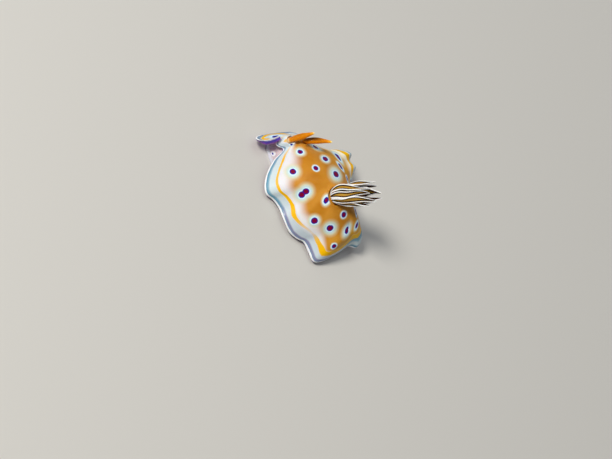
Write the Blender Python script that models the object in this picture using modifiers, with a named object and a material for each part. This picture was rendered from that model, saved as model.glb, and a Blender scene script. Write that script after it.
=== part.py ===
"""A sea slug (nudibranch) of the chromodorid family, life size, at rest on its flat sole.

The animal crawls along +X with its left side towards +Y, and the floor is z = 0. Sizes are in
millimetres and turned to metres as meshes are made. The mantle is one loft: ribs run from a ridge
along the back to a ruffled edge, and every piece of the mantle is a part of that one surface.
"""

import math

import bmesh
import bpy
import numpy as np
from mathutils import Matrix, Vector

MM = 0.001
GAP = 0.3
WELD = 0.01

# Edge of the mantle as forward, left, up and the point of the ridge that its rib starts from,
# walked from the front round the left side
MANTLE_EDGE = (
    (11.9, 3.9, 3.9, 6.2), (11.9, 5.9, 3.8, 6.7), (11.9, 8.1, 3.4, 7.2), (11.8, 10.0, 2.9, 7.8),
    (11.7, 12.2, 2.3, 8.4), (11.3, 14.9, 2.5, 8.9), (10.5, 17.0, 3.3, 9.0), (9.6, 17.3, 4.5, 9.0),
    (9.2, 15.9, 5.2, 8.9), (9.2, 13.6, 5.3, 8.4), (9.4, 11.0, 5.0, 7.7), (9.6, 9.2, 4.6, 7.2),
    (9.2, 8.7, 3.9, 6.9), (8.6, 9.3, 3.3, 6.7), (8.0, 8.6, 3.3, 6.4), (7.5, 7.5, 3.6, 6.1),
    (7.0, 7.4, 3.6, 5.8), (6.1, 8.4, 3.3, 5.5), (4.4, 10.6, 2.4, 5.0), (1.1, 13.8, 2.2, 4.1),
    (-2.2, 15.5, 1.9, 3.4), (-4.8, 15.4, 1.7, 2.9), (-6.4, 13.0, 1.5, 2.6),
    (-8.8, 11.3, 1.6, 2.2), (-12.2, 10.8, 2.0, 1.6), (-15.5, 9.1, 1.6, 1.0),
    (-17.4, 6.6, 1.5, 0.6), (-18.6, 4.4, 1.8, 0.3), (-21.4, 3.0, 1.6, 0.1),
    (-23.9, 1.8, 1.5, 0.0), (-24.2, -0.6, 1.8, 0.0), (-23.3, -4.2, 1.9, 0.0),
    (-21.8, -8.3, 2.0, 0.0), (-20.8, -12.2, 3.0, 0.1), (-20.6, -14.6, 3.8, 0.2),
    (-18.4, -15.9, 4.0, 0.5), (-14.5, -15.0, 2.6, 1.1), (-10.5, -14.6, 1.7, 1.8),
    (-6.0, -14.8, 3.0, 2.5), (-2.0, -14.6, 6.0, 3.2), (0.6, -15.3, 7.5, 3.6), (2.9, -15.0, 6.3, 3.9),
    (4.5, -14.7, 7.4, 4.2), (6.1, -12.1, 6.4, 4.7), (6.5, -8.8, 4.8, 5.0), (8.2, -5.2, 3.6, 5.3),
    (10.2, -2.0, 3.4, 5.6), (11.4, 1.4, 3.8, 5.9),
)
# Ridge of the back as forward, left, up, from the tail end over the neck into the front lobe
RIDGE = (
    (-17.0, -6.0, 9.2), (-13.0, -4.8, 11.8), (-8.4, -2.0, 12.6), (-3.0, -0.2, 12.2),
    (2.0, 1.2, 10.2), (6.0, 2.8, 7.6), (8.9, 4.4, 6.0), (10.4, 7.2, 5.0), (10.6, 10.4, 4.4),
    (10.4, 13.6, 4.0),
)
HEM_HEIGHT = 1.5
BROAD_WAVE = 1.8
BASE_SHARE = 0.94
LIFT_WAVE = 3.0
DOME_POWER = 2.2
STEEP_SIDE = 0.78
SPREAD_SIDE = 1.08
RUFFLE_START = 0.64

BACK_RIM = 0.70
# Rows of the back and of the belly under it, as shares of the way out to the back's rim
BACK_ROWS = (0.0, 0.2, 0.4, 0.6, 0.77, 0.9, 1.0)
BELLY_ROWS = (1.0, 0.94, 0.86, 0.77, 0.5, 0.0)
BACK_COLUMNS = 37
TAIL_FAN = 5
RIM_DEPTH = 1.3
HEM_DEPTH = 0.75
FLAP_STEEPNESS = 0.62
HEM_ROWS = 5
HEM_STEP = 1.25
BELLY_HEIGHT = 2.5
NECK_X = 7.2
CUTS_X = (4.0, -13.0)
# Each length of the hem with its first and last point of the edge's outline
HEM_PIECES = (
    ("hem_front", 46, 2), ("hem_lobe", 2, 18), ("hem_left_front", 18, 22),
    ("hem_left_rear", 22, 27), ("hem_tail", 27, 32), ("hem_right_rear", 32, 37),
    ("hem_right", 37, 40), ("hem_right_front", 40, 46),
)

# Outline of the foot as forward and left, walked from the front round the left side
FOOT_EDGE = (
    (11.9, 4.6), (11.0, 8.6), (8.8, 10.6), (6.2, 10.6), (2.5, 9.8), (-2.0, 9.2), (-7.0, 8.2),
    (-12.0, 5.6), (-16.5, 2.6), (-20.0, 0.2), (-22.6, -2.6), (-20.6, -4.9), (-16.5, -7.4),
    (-11.0, -9.6), (-5.0, -9.8), (1.0, -8.8), (5.0, -6.6), (8.0, -3.2), (10.6, 0.4),
)
FOOT_COLUMNS = 72
FOOT_CENTRE_FRONT = (9.0, 4.6)
FOOT_CENTRE_REAR = (-18.5, -3.4)
# Height of each ring of the foot and how far out from the centre line it lies
FOOT_RINGS = ((0.0, 0.955), (0.2, 0.99), (0.45, 1.0), (0.7, 0.97), (0.95, 0.86), (2.2, 0.56))
FOOT_FRONT_RINGS = ((0.0, 0.955), (0.2, 0.99), (0.5, 1.0), (0.75, 0.97), (0.95, 0.84), (1.1, 0.60))

HEAD_CENTRE = (9.3, 4.4, 2.6)
HEAD_RADII = (1.6, 2.4, 1.15)
MOUTH_SIZE = (1.2, 2.0, 0.45)
TENTACLE_LENGTH = 2.1
TENTACLE_RADIUS = 0.55
TENTACLE_SPREAD = 1.4

HEM_BY_SHEATH = ("hem_lobe",)
SHEATH_RADIUS = 1.35
SHEATH_HEIGHT = 1.0
RHINOPHORE_SOCKET = 0.65
RHINOPHORE_RADIUS = 0.8
# Width of a rhinophore at each share of its length, before the leaves are cut in
RHINOPHORE_PROFILE = (
    (0.0, 0.95), (0.20, 0.85), (0.30, 1.0), (0.45, 1.10), (0.62, 1.0), (0.80, 0.76),
    (0.93, 0.46), (1.0, 0.18),
)
LEAF_COUNT = 8
# Where the leaves begin and end on a rhinophore, and how deep the clefts between them are
LEAF_SPAN = (0.26, 0.94)
LEAF_CLEFT = 0.14
# Foot of each rhinophore as forward and left, then the way it points
RHINOPHORES = {
    "left": ((9.2, 6.4), (0.0, -2.0, 7.9)),
    "right": ((8.6, 2.6), (-2.5, -2.6, 8.6)),
}

GILL_X, GILL_Y = -8.4, -0.2
GILL_POCKET_RADIUS = 2.9
GILL_COLLAR_WIDTH = 0.7
GILL_COLLAR_HEIGHT = 0.5
GILL_POCKET_DEPTH = 1.2
GILL_RING_RADIUS = 1.75
GILL_SWEEP = (-2.4, -4.6, 11.0)
# Each gill plume's angle round the vent from straight ahead, its length, how far out it arches half
# way up and how far out it ends
PLUMES = (
    (23, 12.7, 0.6, 2.0), (56, 11.6, 1.6, 0.6), (90, 10.8, 0.9, 0.3), (124, 12.6, 1.5, 1.4),
    (157, 9.8, 1.0, 1.8), (-157, 9.8, 1.5, 0.6), (-124, 11.0, 0.5, 0.7), (-90, 11.0, 1.5, 0.6),
    (-56, 12.4, 0.5, -1.2), (-23, 11.2, 0.3, 0.8),
)
PAPILLA_RADIUS = 0.7
STEM_RADIUS = 0.34
LEAFLET_PAIRS = 8
LEAFLET_REACH = 0.85
LEAFLET_THICKNESS = 0.4
# How far a leaflet's tip points up its stem and folds in, against its reach
LEAFLET_SLANT = 0.6
LEAFLET_FOLD = 0.35

COLOURS = {
    "back": (0.62, 0.25, 0.05), "hem": (0.85, 0.82, 0.84), "foot": (0.80, 0.70, 0.74),
    "head": (0.78, 0.66, 0.72), "rhinophore": (0.85, 0.28, 0.01), "gill": (0.80, 0.74, 0.66),
}


def smooth(start, end, value):
    """Rise from 0 at start to 1 at end with no kink."""
    share = np.clip((value - start) / (end - start), 0.0, 1.0)
    return share * share * (3.0 - 2.0 * share)


def closed_curve(points, at):
    """Points of a closed curve through all the given ones, at fractions of their count."""
    given = np.asarray(points, float)
    index = np.floor(at).astype(int)
    part = (at - index)[:, None]
    before, here, after, beyond = (given[(index + k) % len(given)] for k in (-1, 0, 1, 2))
    bend = 2 * before - 5 * here + 4 * after - beyond
    twist = 3 * here - 3 * after + beyond - before
    return 0.5 * (2 * here + (after - before) * part + bend * part**2 + twist * part**3)


def even_ring(points, count):
    """A closed curve cut into equal steps, and its whole length."""
    fine = closed_curve(points, np.arange(count * 8) * len(points) / (count * 8))
    steps = np.linalg.norm(np.roll(fine, -1, 0) - fine, axis=1)
    reach = np.concatenate([[0.0], np.cumsum(steps)])
    around = np.concatenate([fine, fine[:1]])
    at = np.arange(count) * reach[-1] / count
    ring = np.stack([np.interp(at, reach, around[:, k]) for k in range(fine.shape[1])], axis=1)
    return ring, reach[-1]


def softened(ring, spread):
    """A closed ring averaged with its neighbours, spread as a count of points."""
    index = np.arange(len(ring))
    away = np.minimum(index, len(ring) - index)
    weight = np.exp(-0.5 * (away / spread) ** 2)
    weight /= weight.sum()
    return np.real(np.fft.ifft(np.fft.fft(ring, axis=0) * np.fft.fft(weight)[:, None], axis=0))


def ridge_at(point):
    """Places on the ridge, given by the number of the point before each and the share past it."""
    given = np.asarray(RIDGE)
    longer = np.concatenate([[2 * given[0] - given[1]], given, [2 * given[-1] - given[-2]]])
    index = np.clip(np.floor(point).astype(int), 0, len(given) - 2)
    part = (point - index)[:, None]
    before, here, after, beyond = (longer[index + k] for k in range(4))
    bend = 2 * before - 5 * here + 4 * after - beyond
    twist = 3 * here - 3 * after + beyond - before
    return 0.5 * (2 * here + (after - before) * part + bend * part**2 + twist * part**3)


class Mantle:
    """The loft of the back: a place round the edge in mm, and 0 at the ridge to 1 at the edge."""

    def __init__(self, count=1200):
        outline = [row[:3] for row in MANTLE_EDGE]
        self.edge, self.length = even_ring(outline, count)
        self.base = softened(self.edge, BROAD_WAVE * count / self.length)
        self.base[:, 2] = softened(self.edge, LIFT_WAVE * count / self.length)[:, 2]
        self.reach = np.arange(count + 1) * self.length / count
        starts = [self.place_of(index) for index in range(len(MANTLE_EDGE))]
        ribs = [row[3] for row in MANTLE_EDGE]
        self.starts = np.array(starts + [self.length])
        self.ribs = np.array(ribs + [ribs[0]])
        self.lobe = (starts[ribs.index(max(ribs))], starts[ribs.index(max(ribs)) + 1])
        flat = [start for start, rib in zip(starts, ribs) if rib == 0.0]
        self.tail = (flat[0], flat[-1])
        foot = self.foot(self.reach[:-1])
        self.base[:, :2] = foot[:, :2] + (self.base - foot)[:, :2] * BASE_SHARE

    def place_of(self, index):
        """Place round the edge of a point of its outline."""
        point = np.asarray(MANTLE_EDGE[index % len(MANTLE_EDGE)][:3])
        if index == 0:
            return 0.0
        return float(self.reach[int(np.argmin(np.linalg.norm(self.edge - point, axis=1)))])

    def _read(self, ring, place):
        around = np.concatenate([ring, ring[:1]])
        place = np.mod(place, self.length)
        return np.stack([np.interp(place, self.reach, around[:, k]) for k in range(3)], axis=1)

    def foot(self, place):
        """Where on the ridge the rib of each place starts."""
        return ridge_at(np.interp(np.mod(place, self.length), self.starts, self.ribs))

    def surface(self, place, rib):
        """Points of the upper skin, one for each pair of place and rib."""
        edge, base, foot = self._read(self.edge, place), self._read(self.base, place), self.foot(place)
        rib = np.asarray(rib, float)[:, None]
        ruffle = np.clip((rib - RUFFLE_START) / (1 - RUFFLE_START), 0, 1) ** 1.3
        out = base[:, :2] - foot[:, :2]
        left = np.clip(out[:, 1:] / np.linalg.norm(out, axis=1)[:, None], 0, 1)
        fall = STEEP_SIDE + (SPREAD_SIDE - STEEP_SIDE) * left
        dome = np.clip(1 - rib**DOME_POWER, 0, 1) ** fall
        flat = foot[:, :2] + out * rib + (edge - base)[:, :2] * ruffle
        rise = (foot[:, 2:] - HEM_HEIGHT) * dome + (base[:, 2:] - HEM_HEIGHT) * rib**3
        return np.hstack([flat, HEM_HEIGHT + rise + (edge - base)[:, 2:] * ruffle])

    def rib_length(self, place):
        """Length in mm of one whole rib's plan, which turns a gap in mm into a share."""
        out = self._read(self.base, place) - self.foot(place)
        return np.linalg.norm(out[:, :2], axis=1)

    def paired_places(self, pairs, fan):
        """Places round the edge whose ribs meet in pairs along the ridge, fanned at its ends."""
        ribs = np.linspace(max(self.ribs), 0.0, pairs)
        inner = np.linspace(self.lobe[1], self.tail[0], 900)
        outer = np.linspace(self.lobe[0] + self.length, self.tail[1], 900)
        sides = []
        for walk in (inner, outer):
            along = np.interp(np.mod(walk, self.length), self.starts, self.ribs)
            sides.append(np.interp(-ribs, -along, walk))
        tail = np.linspace(self.tail[0], self.tail[1], fan + 2)[1:-1]
        lobe = np.linspace(self.lobe[0], self.lobe[1], 3)[1:-1]
        sides[0][0], sides[0][-1] = self.lobe[1], self.tail[0]
        sides[1][0], sides[1][-1] = self.lobe[0], self.tail[1]
        return np.concatenate([sides[0], tail, sides[1][::-1], lobe])


MANTLE = Mantle()


def material(name, colour, roughness=0.35):
    """A plain Principled material of the given linear colour."""
    made = bpy.data.materials.new(name)
    made.use_nodes = True
    shader = made.node_tree.nodes["Principled BSDF"]
    shader.inputs["Base Color"].default_value = (*colour, 1.0)
    shader.inputs["Roughness"].default_value = roughness
    shader.inputs["Metallic"].default_value = 0.0
    return made


def finish(name, work, colour, collection, origin=(0.0, 0.0, 0.0)):
    """Weld, split into triangles, turn the faces out and link a mesh given in millimetres."""
    bmesh.ops.remove_doubles(work, verts=work.verts, dist=WELD)
    bmesh.ops.dissolve_degenerate(work, edges=work.edges, dist=WELD)
    bmesh.ops.triangulate(work, faces=work.faces)
    bmesh.ops.recalc_face_normals(work, faces=work.faces)
    if work.calc_volume(signed=True) < 0:
        bmesh.ops.reverse_faces(work, faces=work.faces)
    place = Vector(origin)
    for vertex in work.verts:
        vertex.co = (vertex.co - place) * MM
    mesh = bpy.data.meshes.new(name)
    work.to_mesh(mesh)
    work.free()
    mesh.shade_smooth()
    mesh.set_sharp_from_angle(angle=math.radians(50))
    mesh.materials.append(material(name + "_skin", COLOURS[colour]))
    made = bpy.data.objects.new(name, mesh)
    made.location = place * MM
    collection.objects.link(made)
    return made


def loft(rings, caps=True, flip_from=None):
    """A skin of triangles over rings with the same count of points, with flat ends if asked.

    From the point flip_from on, the triangles lean the other way, which splits the upper and
    lower face of a thin flap alike.
    """
    work = bmesh.new()
    rows = [[work.verts.new(point) for point in ring] for ring in rings]
    count = len(rows[0])
    for low, high in zip(rows, rows[1:]):
        for k in range(count):
            after = (k + 1) % count
            if flip_from is None or k < flip_from:
                work.faces.new((low[k], low[after], high[after]))
                work.faces.new((low[k], high[after], high[k]))
            else:
                work.faces.new((low[k], low[after], high[k]))
                work.faces.new((low[after], high[after], high[k]))
    if caps:
        work.faces.new(rows[0][::-1])
        work.faces.new(rows[-1])
    return work


def apply_boolean(made, other, operation, solver="EXACT"):
    """Cut or join one object with another and keep the result in its mesh."""
    change = made.modifiers.new("change", "BOOLEAN")
    change.operation = operation
    change.solver = solver
    if isinstance(other, bpy.types.Collection):
        change.operand_type = "COLLECTION"
        change.collection = other
    else:
        change.object = other
    bpy.context.view_layer.update()
    graph = bpy.context.evaluated_depsgraph_get()
    result = bpy.data.meshes.new_from_object(made.evaluated_get(graph))
    made.modifiers.clear()
    old = made.data
    made.data = result
    bpy.data.meshes.remove(old)


def keep_largest(made):
    """Keep only the largest closed surface of an object's mesh."""
    work = bmesh.new()
    work.from_mesh(made.data)
    left, best = set(work.faces), []
    while left:
        stack, group = [left.pop()], []
        while stack:
            face = stack.pop()
            group.append(face)
            for edge in face.edges:
                for other in edge.link_faces:
                    if other in left:
                        left.remove(other)
                        stack.append(other)
        if sum(f.calc_area() for f in group) > sum(f.calc_area() for f in best):
            best = group
    best = set(best)
    bmesh.ops.delete(work, geom=[f for f in work.faces if f not in best], context="FACES")
    bmesh.ops.remove_doubles(work, verts=work.verts, dist=WELD * MM)
    bmesh.ops.dissolve_degenerate(work, edges=work.edges, dist=WELD * MM)
    bmesh.ops.triangulate(work, faces=work.faces)
    work.to_mesh(made.data)
    work.free()


def box(name, low, high, collection):
    """A box between two corners in millimetres."""
    work = bmesh.new()
    bmesh.ops.create_cube(work, size=1.0)
    low, high = Vector(low), Vector(high)
    for vertex in work.verts:
        vertex.co = [(low[k] + high[k]) / 2 + vertex.co[k] * (high[k] - low[k]) for k in range(3)]
    return finish(name, work, "back", collection)


def discard(*objects):
    """Remove helper objects that the model no longer needs."""
    for made in objects:
        bpy.data.objects.remove(made)


def split_along(made, names, collection, cutters):
    """Part a long body with thin cuts across it, from the head to the tail."""
    limits = [40.0, *CUTS_X, -40.0]
    pieces = []
    for name, front, rear in zip(names, limits, limits[1:]):
        piece = made.copy()
        piece.data = made.data.copy()
        piece.name = name
        collection.objects.link(piece)
        front -= GAP / 2 if front in CUTS_X else 0.0
        rear += GAP / 2 if rear in CUTS_X else 0.0
        room = box("room", (rear, -40, -5), (front, 40, 40), cutters)
        apply_boolean(piece, room, "INTERSECT")
        discard(room)
        keep_largest(piece)
        piece.data.name = name
        pieces.append(piece)
    discard(made)
    return pieces


def make_back(collection, cutters):
    """The domed back with the body under it, parted over the neck and behind the gills."""
    places = MANTLE.paired_places(BACK_COLUMNS, TAIL_FAN)
    rims = BACK_RIM - GAP / 2 / MANTLE.rib_length(places)
    rings = [MANTLE.surface(places, rims * row) for row in BACK_ROWS]
    for row in BELLY_ROWS:
        ring = MANTLE.surface(places, rims * row)
        inside = smooth(0.91, 0.77, row) * smooth(NECK_X + 0.5, NECK_X - 0.2, ring[:, 0])
        ring[:, 2] = (ring[:, 2] - RIM_DEPTH) * (1 - inside) + BELLY_HEIGHT * inside
        rings.append(ring)
    whole = finish("back", loft(rings, caps=False), "back", collection)
    front, middle, rear = split_along(
        whole, ("back_front", "back_middle", "back_rear"), collection, cutters
    )
    for foot, way in RHINOPHORES.values():
        add_sheath(front, foot, way, cutters)
    add_gill_pocket(middle, cutters)
    return front, middle, rear


def height_at(x, y):
    """Height of the upper skin over a place on the floor, found by narrowing in on its rib."""
    places = np.linspace(0, MANTLE.length, 481)[:-1]
    best = None
    for rib in np.linspace(0, BACK_RIM, 61):
        points = MANTLE.surface(places, np.full(len(places), rib))
        away = np.hypot(points[:, 0] - x, points[:, 1] - y)
        k = int(np.argmin(away))
        if best is None or away[k] < best[0]:
            best = (away[k], points[k, 2])
    return float(best[1])


def turned(name, profile, collection, colour, sides=16, origin=(0, 0, 0), way=(0, 0, 1)):
    """A turned solid from pairs of height and radius, stood at a place and pointed a way.

    The pairs run from the bottom to the top. The line that the Screw modifier turns runs the
    other way, from the axis at the top down the outer side to the axis at the bottom.
    """
    line = [(0.0, profile[-1][0])]
    line += [(radius, height) for height, radius in reversed(profile)]
    line += [(0.0, profile[0][0])]
    mesh = bpy.data.meshes.new(name)
    mesh.from_pydata([(x, 0.0, z) for x, z in line], [(k, k + 1) for k in range(len(line) - 1)], [])
    drawn = bpy.data.objects.new(name, mesh)
    collection.objects.link(drawn)
    screw = drawn.modifiers.new("turn", "SCREW")
    screw.steps = screw.render_steps = sides
    screw.use_merge_vertices = True
    screw.merge_threshold = 0.0001
    bpy.context.view_layer.update()
    work = bmesh.new()
    work.from_object(drawn, bpy.context.evaluated_depsgraph_get())
    discard(drawn)
    bpy.data.meshes.remove(mesh)
    made = finish(name, work, colour, collection)
    made.rotation_mode = "QUATERNION"
    made.rotation_quaternion = Vector(way).to_track_quat("Z", "Y")
    made.location = Vector(origin) * MM
    return made


def add_sheath(front, foot, way, cutters):
    """Raise the collar round a rhinophore from the skin and sink its socket."""
    base = Vector((*foot, height_at(*foot)))
    lean = lean_of(way)
    collar = ((-1.0, SHEATH_RADIUS), (0.2, SHEATH_RADIUS), (SHEATH_HEIGHT, SHEATH_RADIUS - 0.1))
    bore = RHINOPHORE_RADIUS + GAP
    ring = turned("collar", collar, cutters, "back", origin=base, way=lean)
    hole = ((-RHINOPHORE_SOCKET, bore), (SHEATH_HEIGHT + 2.0, bore))
    drill = turned("drill", hole, cutters, "back", origin=base, way=lean)
    apply_boolean(front, ring, "UNION")
    apply_boolean(front, drill, "DIFFERENCE")
    discard(ring, drill)
    keep_largest(front)


def add_gill_pocket(middle, cutters):
    """Raise the low collar round the gills and sink the pocket that they stand in."""
    base = Vector((GILL_X, GILL_Y, height_at(GILL_X, GILL_Y)))
    wide = GILL_POCKET_RADIUS + GILL_COLLAR_WIDTH
    collar = ((-1.8, wide), (0.0, wide), (GILL_COLLAR_HEIGHT, wide - 0.5))
    ring = turned("collar", collar, cutters, "back", sides=24, origin=base)
    hole = ((-GILL_POCKET_DEPTH, GILL_POCKET_RADIUS), (3.0, GILL_POCKET_RADIUS))
    drill = turned("drill", hole, cutters, "back", sides=24, origin=base)
    apply_boolean(middle, ring, "UNION")
    apply_boolean(middle, drill, "DIFFERENCE")
    discard(ring, drill)
    keep_largest(middle)


def leafy_profile(length):
    """Pairs of height and radius of a rhinophore: a stalk, then a club of stacked leaves."""
    shares, widths = zip(*RHINOPHORE_PROFILE)
    low, high = LEAF_SPAN
    step = (high - low) / LEAF_COUNT
    rows = [(0.0, 1.0), (0.20, 1.0)]
    for k in range(LEAF_COUNT):
        rows.append((low + step * k, 1.0 - LEAF_CLEFT))
        rows.append((low + step * (k + 0.5), 1.0))
    rows += [(high, 1.0 - LEAF_CLEFT), (1.0, 1.0)]
    return [
        (share * length, RHINOPHORE_RADIUS * cut * float(np.interp(share, shares, widths)))
        for share, cut in rows
    ]


def make_rhinophores(collection):
    """The two clubbed feelers, each standing in its sheath."""
    for side, (foot, way) in RHINOPHORES.items():
        base = Vector((*foot, height_at(*foot)))
        lean = lean_of(way)
        start = base + lean * (GAP - RHINOPHORE_SOCKET)
        length = (base + Vector(way) - start).length
        profile = leafy_profile(length)
        turned("rhinophore_" + side, profile, collection, "rhinophore", 14, start, lean)


def make_hem(collection, cutters):
    """The thin ruffled edge of the mantle, in lengths parted by thin cuts along its ribs."""
    for name, first, last in HEM_PIECES:
        start, end = MANTLE.place_of(first), MANTLE.place_of(last)
        if end < start:
            end += MANTLE.length
        start += side_gap(start)
        end -= side_gap(end)
        count = max(6, round((end - start) / HEM_STEP))
        places = np.linspace(start, end, count + 1)
        ribs = np.linspace(0, 1, HEM_ROWS + 1)
        rims = BACK_RIM + GAP / 2 / MANTLE.rib_length(places)
        rows = [MANTLE.surface(places, rims + (1 - rims) * share) for share in ribs]
        lower = [under_skin(places, rims + (1 - rims) * share, share) for share in ribs]
        sections = np.array(rows + lower[::-1]).transpose(1, 0, 2)
        made = finish(name, loft(sections, flip_from=HEM_ROWS), "hem", collection)
        if name in HEM_BY_SHEATH:
            clear_of_sheaths(made, cutters)


def clear_of_sheaths(made, cutters):
    """Cut a length of hem clear of the collars round the rhinophores."""
    for foot, way in RHINOPHORES.values():
        base = Vector((*foot, height_at(*foot)))
        wide = SHEATH_RADIUS + GAP
        drill = turned("drill", ((-2.0, wide), (3.0, wide)), cutters, "back", 16, base, lean_of(way))
        apply_boolean(made, drill, "DIFFERENCE")
        discard(drill)
    keep_largest(made)


def lean_of(way):
    """The slant of a rhinophore's sheath, half way between upright and the feeler."""
    return (Vector(way).normalized() + Vector((0, 0, 1))).normalized()


def under_skin(places, ribs, out):
    """Points of the lower face of the hem, straight under the upper skin.

    out runs from 0 at the hem's root to 1 at its edge. Steep flaps are deeper straight down, so
    that they stay as thick as the rest.
    """
    step = 0.05
    along = MANTLE.surface(places + step, ribs) - MANTLE.surface(places - step, ribs)
    across = MANTLE.surface(places, ribs) - MANTLE.surface(places, ribs - 0.01)
    square = np.cross(across, along)
    flatness = np.abs(square[:, 2]) / np.linalg.norm(square, axis=1)
    thin = HEM_DEPTH / np.clip(flatness, FLAP_STEEPNESS, 1.0)
    under = MANTLE.surface(places, ribs)
    under[:, 2] -= RIM_DEPTH + (thin - RIM_DEPTH) * smooth(0.0, 0.55, out)
    return under


def side_gap(place):
    """Half a gap as a step round the edge, so that it is kept at the root of the hem too."""
    pair = MANTLE.surface(np.array([place - 0.2, place + 0.2]), np.full(2, BACK_RIM))
    spacing = np.linalg.norm(pair[1] - pair[0]) / 0.4
    return GAP / 2 / min(1.0, spacing)


def make_foot(collection, cutters):
    """The flat sole, thin and broad in front and drawn out to a tail."""
    outline, _ = even_ring(FOOT_EDGE, FOOT_COLUMNS)
    ends = (FOOT_CENTRE_REAR[0], FOOT_CENTRE_FRONT[0])
    x = np.interp(outline[:, 0], (outline[:, 0].min(), outline[:, 0].max()), ends)
    y = np.interp(x, ends, (FOOT_CENTRE_REAR[1], FOOT_CENTRE_FRONT[1]))
    centre = np.column_stack([x, y])
    rings = []
    for (height, share), (low_height, low_share) in zip(FOOT_RINGS, FOOT_FRONT_RINGS):
        front = smooth(5.5, 8.0, outline[:, 0])
        z = height + (low_height - height) * front
        part = share + (low_share - share) * front
        rings.append(np.column_stack([centre + (outline - centre) * part[:, None], z]))
    whole = finish("sole", loft(rings), "foot", collection)
    return split_along(whole, ("foot_front", "foot_middle", "tail"), collection, cutters)


def ball(name, centre, radii, collection, colour="head", fine=18):
    """A ball drawn out along the three axes."""
    work = bmesh.new()
    bmesh.ops.create_uvsphere(work, u_segments=fine, v_segments=fine // 2 + 1, radius=1.0)
    for vertex in work.verts:
        vertex.co = [centre[k] + vertex.co[k] * radii[k] for k in range(3)]
    return finish(name, work, colour, collection)


def make_head(collection, cutters):
    """The small head under the front of the mantle, with its mouth and two mouth tentacles."""
    head = ball("head", HEAD_CENTRE, HEAD_RADII, collection)
    mouth_place = (HEAD_CENTRE[0] + HEAD_RADII[0], HEAD_CENTRE[1], HEAD_CENTRE[2] - 0.2)
    mouth = ball("mouth", mouth_place, MOUTH_SIZE, cutters, fine=12)
    apply_boolean(head, mouth, "DIFFERENCE")
    discard(mouth)
    keep_largest(head)
    clear = ball("clear", HEAD_CENTRE, [radius + GAP for radius in HEAD_RADII], cutters)
    for side, turn in (("left", 1), ("right", -1)):
        root = (HEAD_CENTRE[0] + 0.6, HEAD_CENTRE[1] + turn * TENTACLE_SPREAD, HEAD_CENTRE[2])
        way = (1.0, 0.25 * turn, -0.3)
        profile = (
            (0.0, TENTACLE_RADIUS), (0.55 * TENTACLE_LENGTH, TENTACLE_RADIUS * 0.9),
            (0.85 * TENTACLE_LENGTH, TENTACLE_RADIUS * 0.6), (TENTACLE_LENGTH, 0.2),
        )
        made = turned("oral_tentacle_" + side, profile, collection, "head", 10, root, way)
        apply_boolean(made, clear, "DIFFERENCE")
        keep_largest(made)
    discard(clear)


def plume_line(root, outward, length, arch, spread, count):
    """Points up the stem of a plume, which arches out of the ring and sweeps back."""
    sweep = Vector(GILL_SWEEP).normalized()
    line = []
    for step in range(count):
        share = step / (count - 1)
        bent = share**1.7
        lean = sweep * bent + Vector((0, 0, share - sweep.z * bent))
        out = arch * math.sin(math.pi * share**0.8) + spread * share**2
        line.append(root + lean * length + outward * out)
    return line


def plume(line, outward, collection):
    """One gill plume: a stem and its two rows of leaflets, lofted as a flat saw-edged vane.

    Every second ring of it is drawn out into the tips of a pair of leaflets.
    """
    rings = []
    last = len(line) - 1
    for k, centre in enumerate(line):
        share = k / last
        ahead = (line[min(k + 1, last)] - line[max(k - 1, 0)]).normalized()
        across = ahead.cross(outward).normalized()
        over = across.cross(ahead)
        wide = STEM_RADIUS * (1 - 0.5 * share)
        reach, thick, shift = wide * 1.3, wide * 0.6, Vector()
        if k % 2:
            reach = LEAFLET_REACH * math.sin(math.pi * (0.14 + 0.8 * share)) ** 0.8
            thick = LEAFLET_THICKNESS / 2 * (1 - 0.4 * share)
            shift = (ahead * LEAFLET_SLANT - over * LEAFLET_FOLD) * reach
        half = [
            (reach, thick, shift), (wide * 0.6, wide, Vector()), (-wide * 0.6, wide, Vector()),
            (-reach, thick, shift),
        ]
        ring = [centre + across * x + over * z + moved for x, z, moved in half]
        ring += [centre + across * x - over * z + moved for x, z, moved in reversed(half)]
        rings.append(ring)
    return finish("plume", loft(rings, flip_from=4), "gill", collection)


def make_gills(collection, cutters):
    """The gill tuft in two half rings of plumes, open behind, round the vent."""
    base = Vector((GILL_X, GILL_Y, height_at(GILL_X, GILL_Y) - GILL_POCKET_DEPTH + GAP))
    outer = GILL_POCKET_RADIUS - GAP
    for side, turn in (("left", 1), ("right", -1)):
        disc = ((0.0, outer), (0.9, outer), (1.3, outer - 0.3))
        half = turned("gills_" + side, disc, collection, "gill", 24, base)
        apply_transform(half)
        low, high = (GAP / 2, 12.0) if turn > 0 else (-12.0, -GAP / 2)
        room = box("room", (-12, low, -1), (12, high, 8), cutters)
        room.location = Vector((GILL_X, GILL_Y, base.z)) * MM
        apply_boolean(half, room, "INTERSECT")
        well = turned("well", ((0.5, PAPILLA_RADIUS + GAP), (3.0, PAPILLA_RADIUS + GAP)), cutters,
                      "gill", 12, base)
        apply_boolean(half, well, "DIFFERENCE")
        discard(room, well)
        plumes = bpy.data.collections.new("plumes_" + side)
        cutters.children.link(plumes)
        for degrees, length, arch, spread in PLUMES:
            if degrees * turn < 0:
                continue
            angle = math.radians(degrees)
            outward = Vector((math.cos(angle), math.sin(angle), 0.0))
            root = base + outward * GILL_RING_RADIUS + Vector((0, 0, 0.5))
            line = plume_line(root, outward, length, arch, spread, 2 * LEAFLET_PAIRS + 2)
            plume(line, outward, plumes)
        apply_boolean(half, plumes, "UNION", "MANIFOLD")
        for blade in list(plumes.objects):
            discard(blade)
        bpy.data.collections.remove(plumes)
        keep_largest(half)
    papilla = ((0.8, PAPILLA_RADIUS), (2.4, PAPILLA_RADIUS * 0.8), (3.0, PAPILLA_RADIUS * 0.5))
    turned("anal_papilla", papilla, collection, "back", 12, base)


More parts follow.
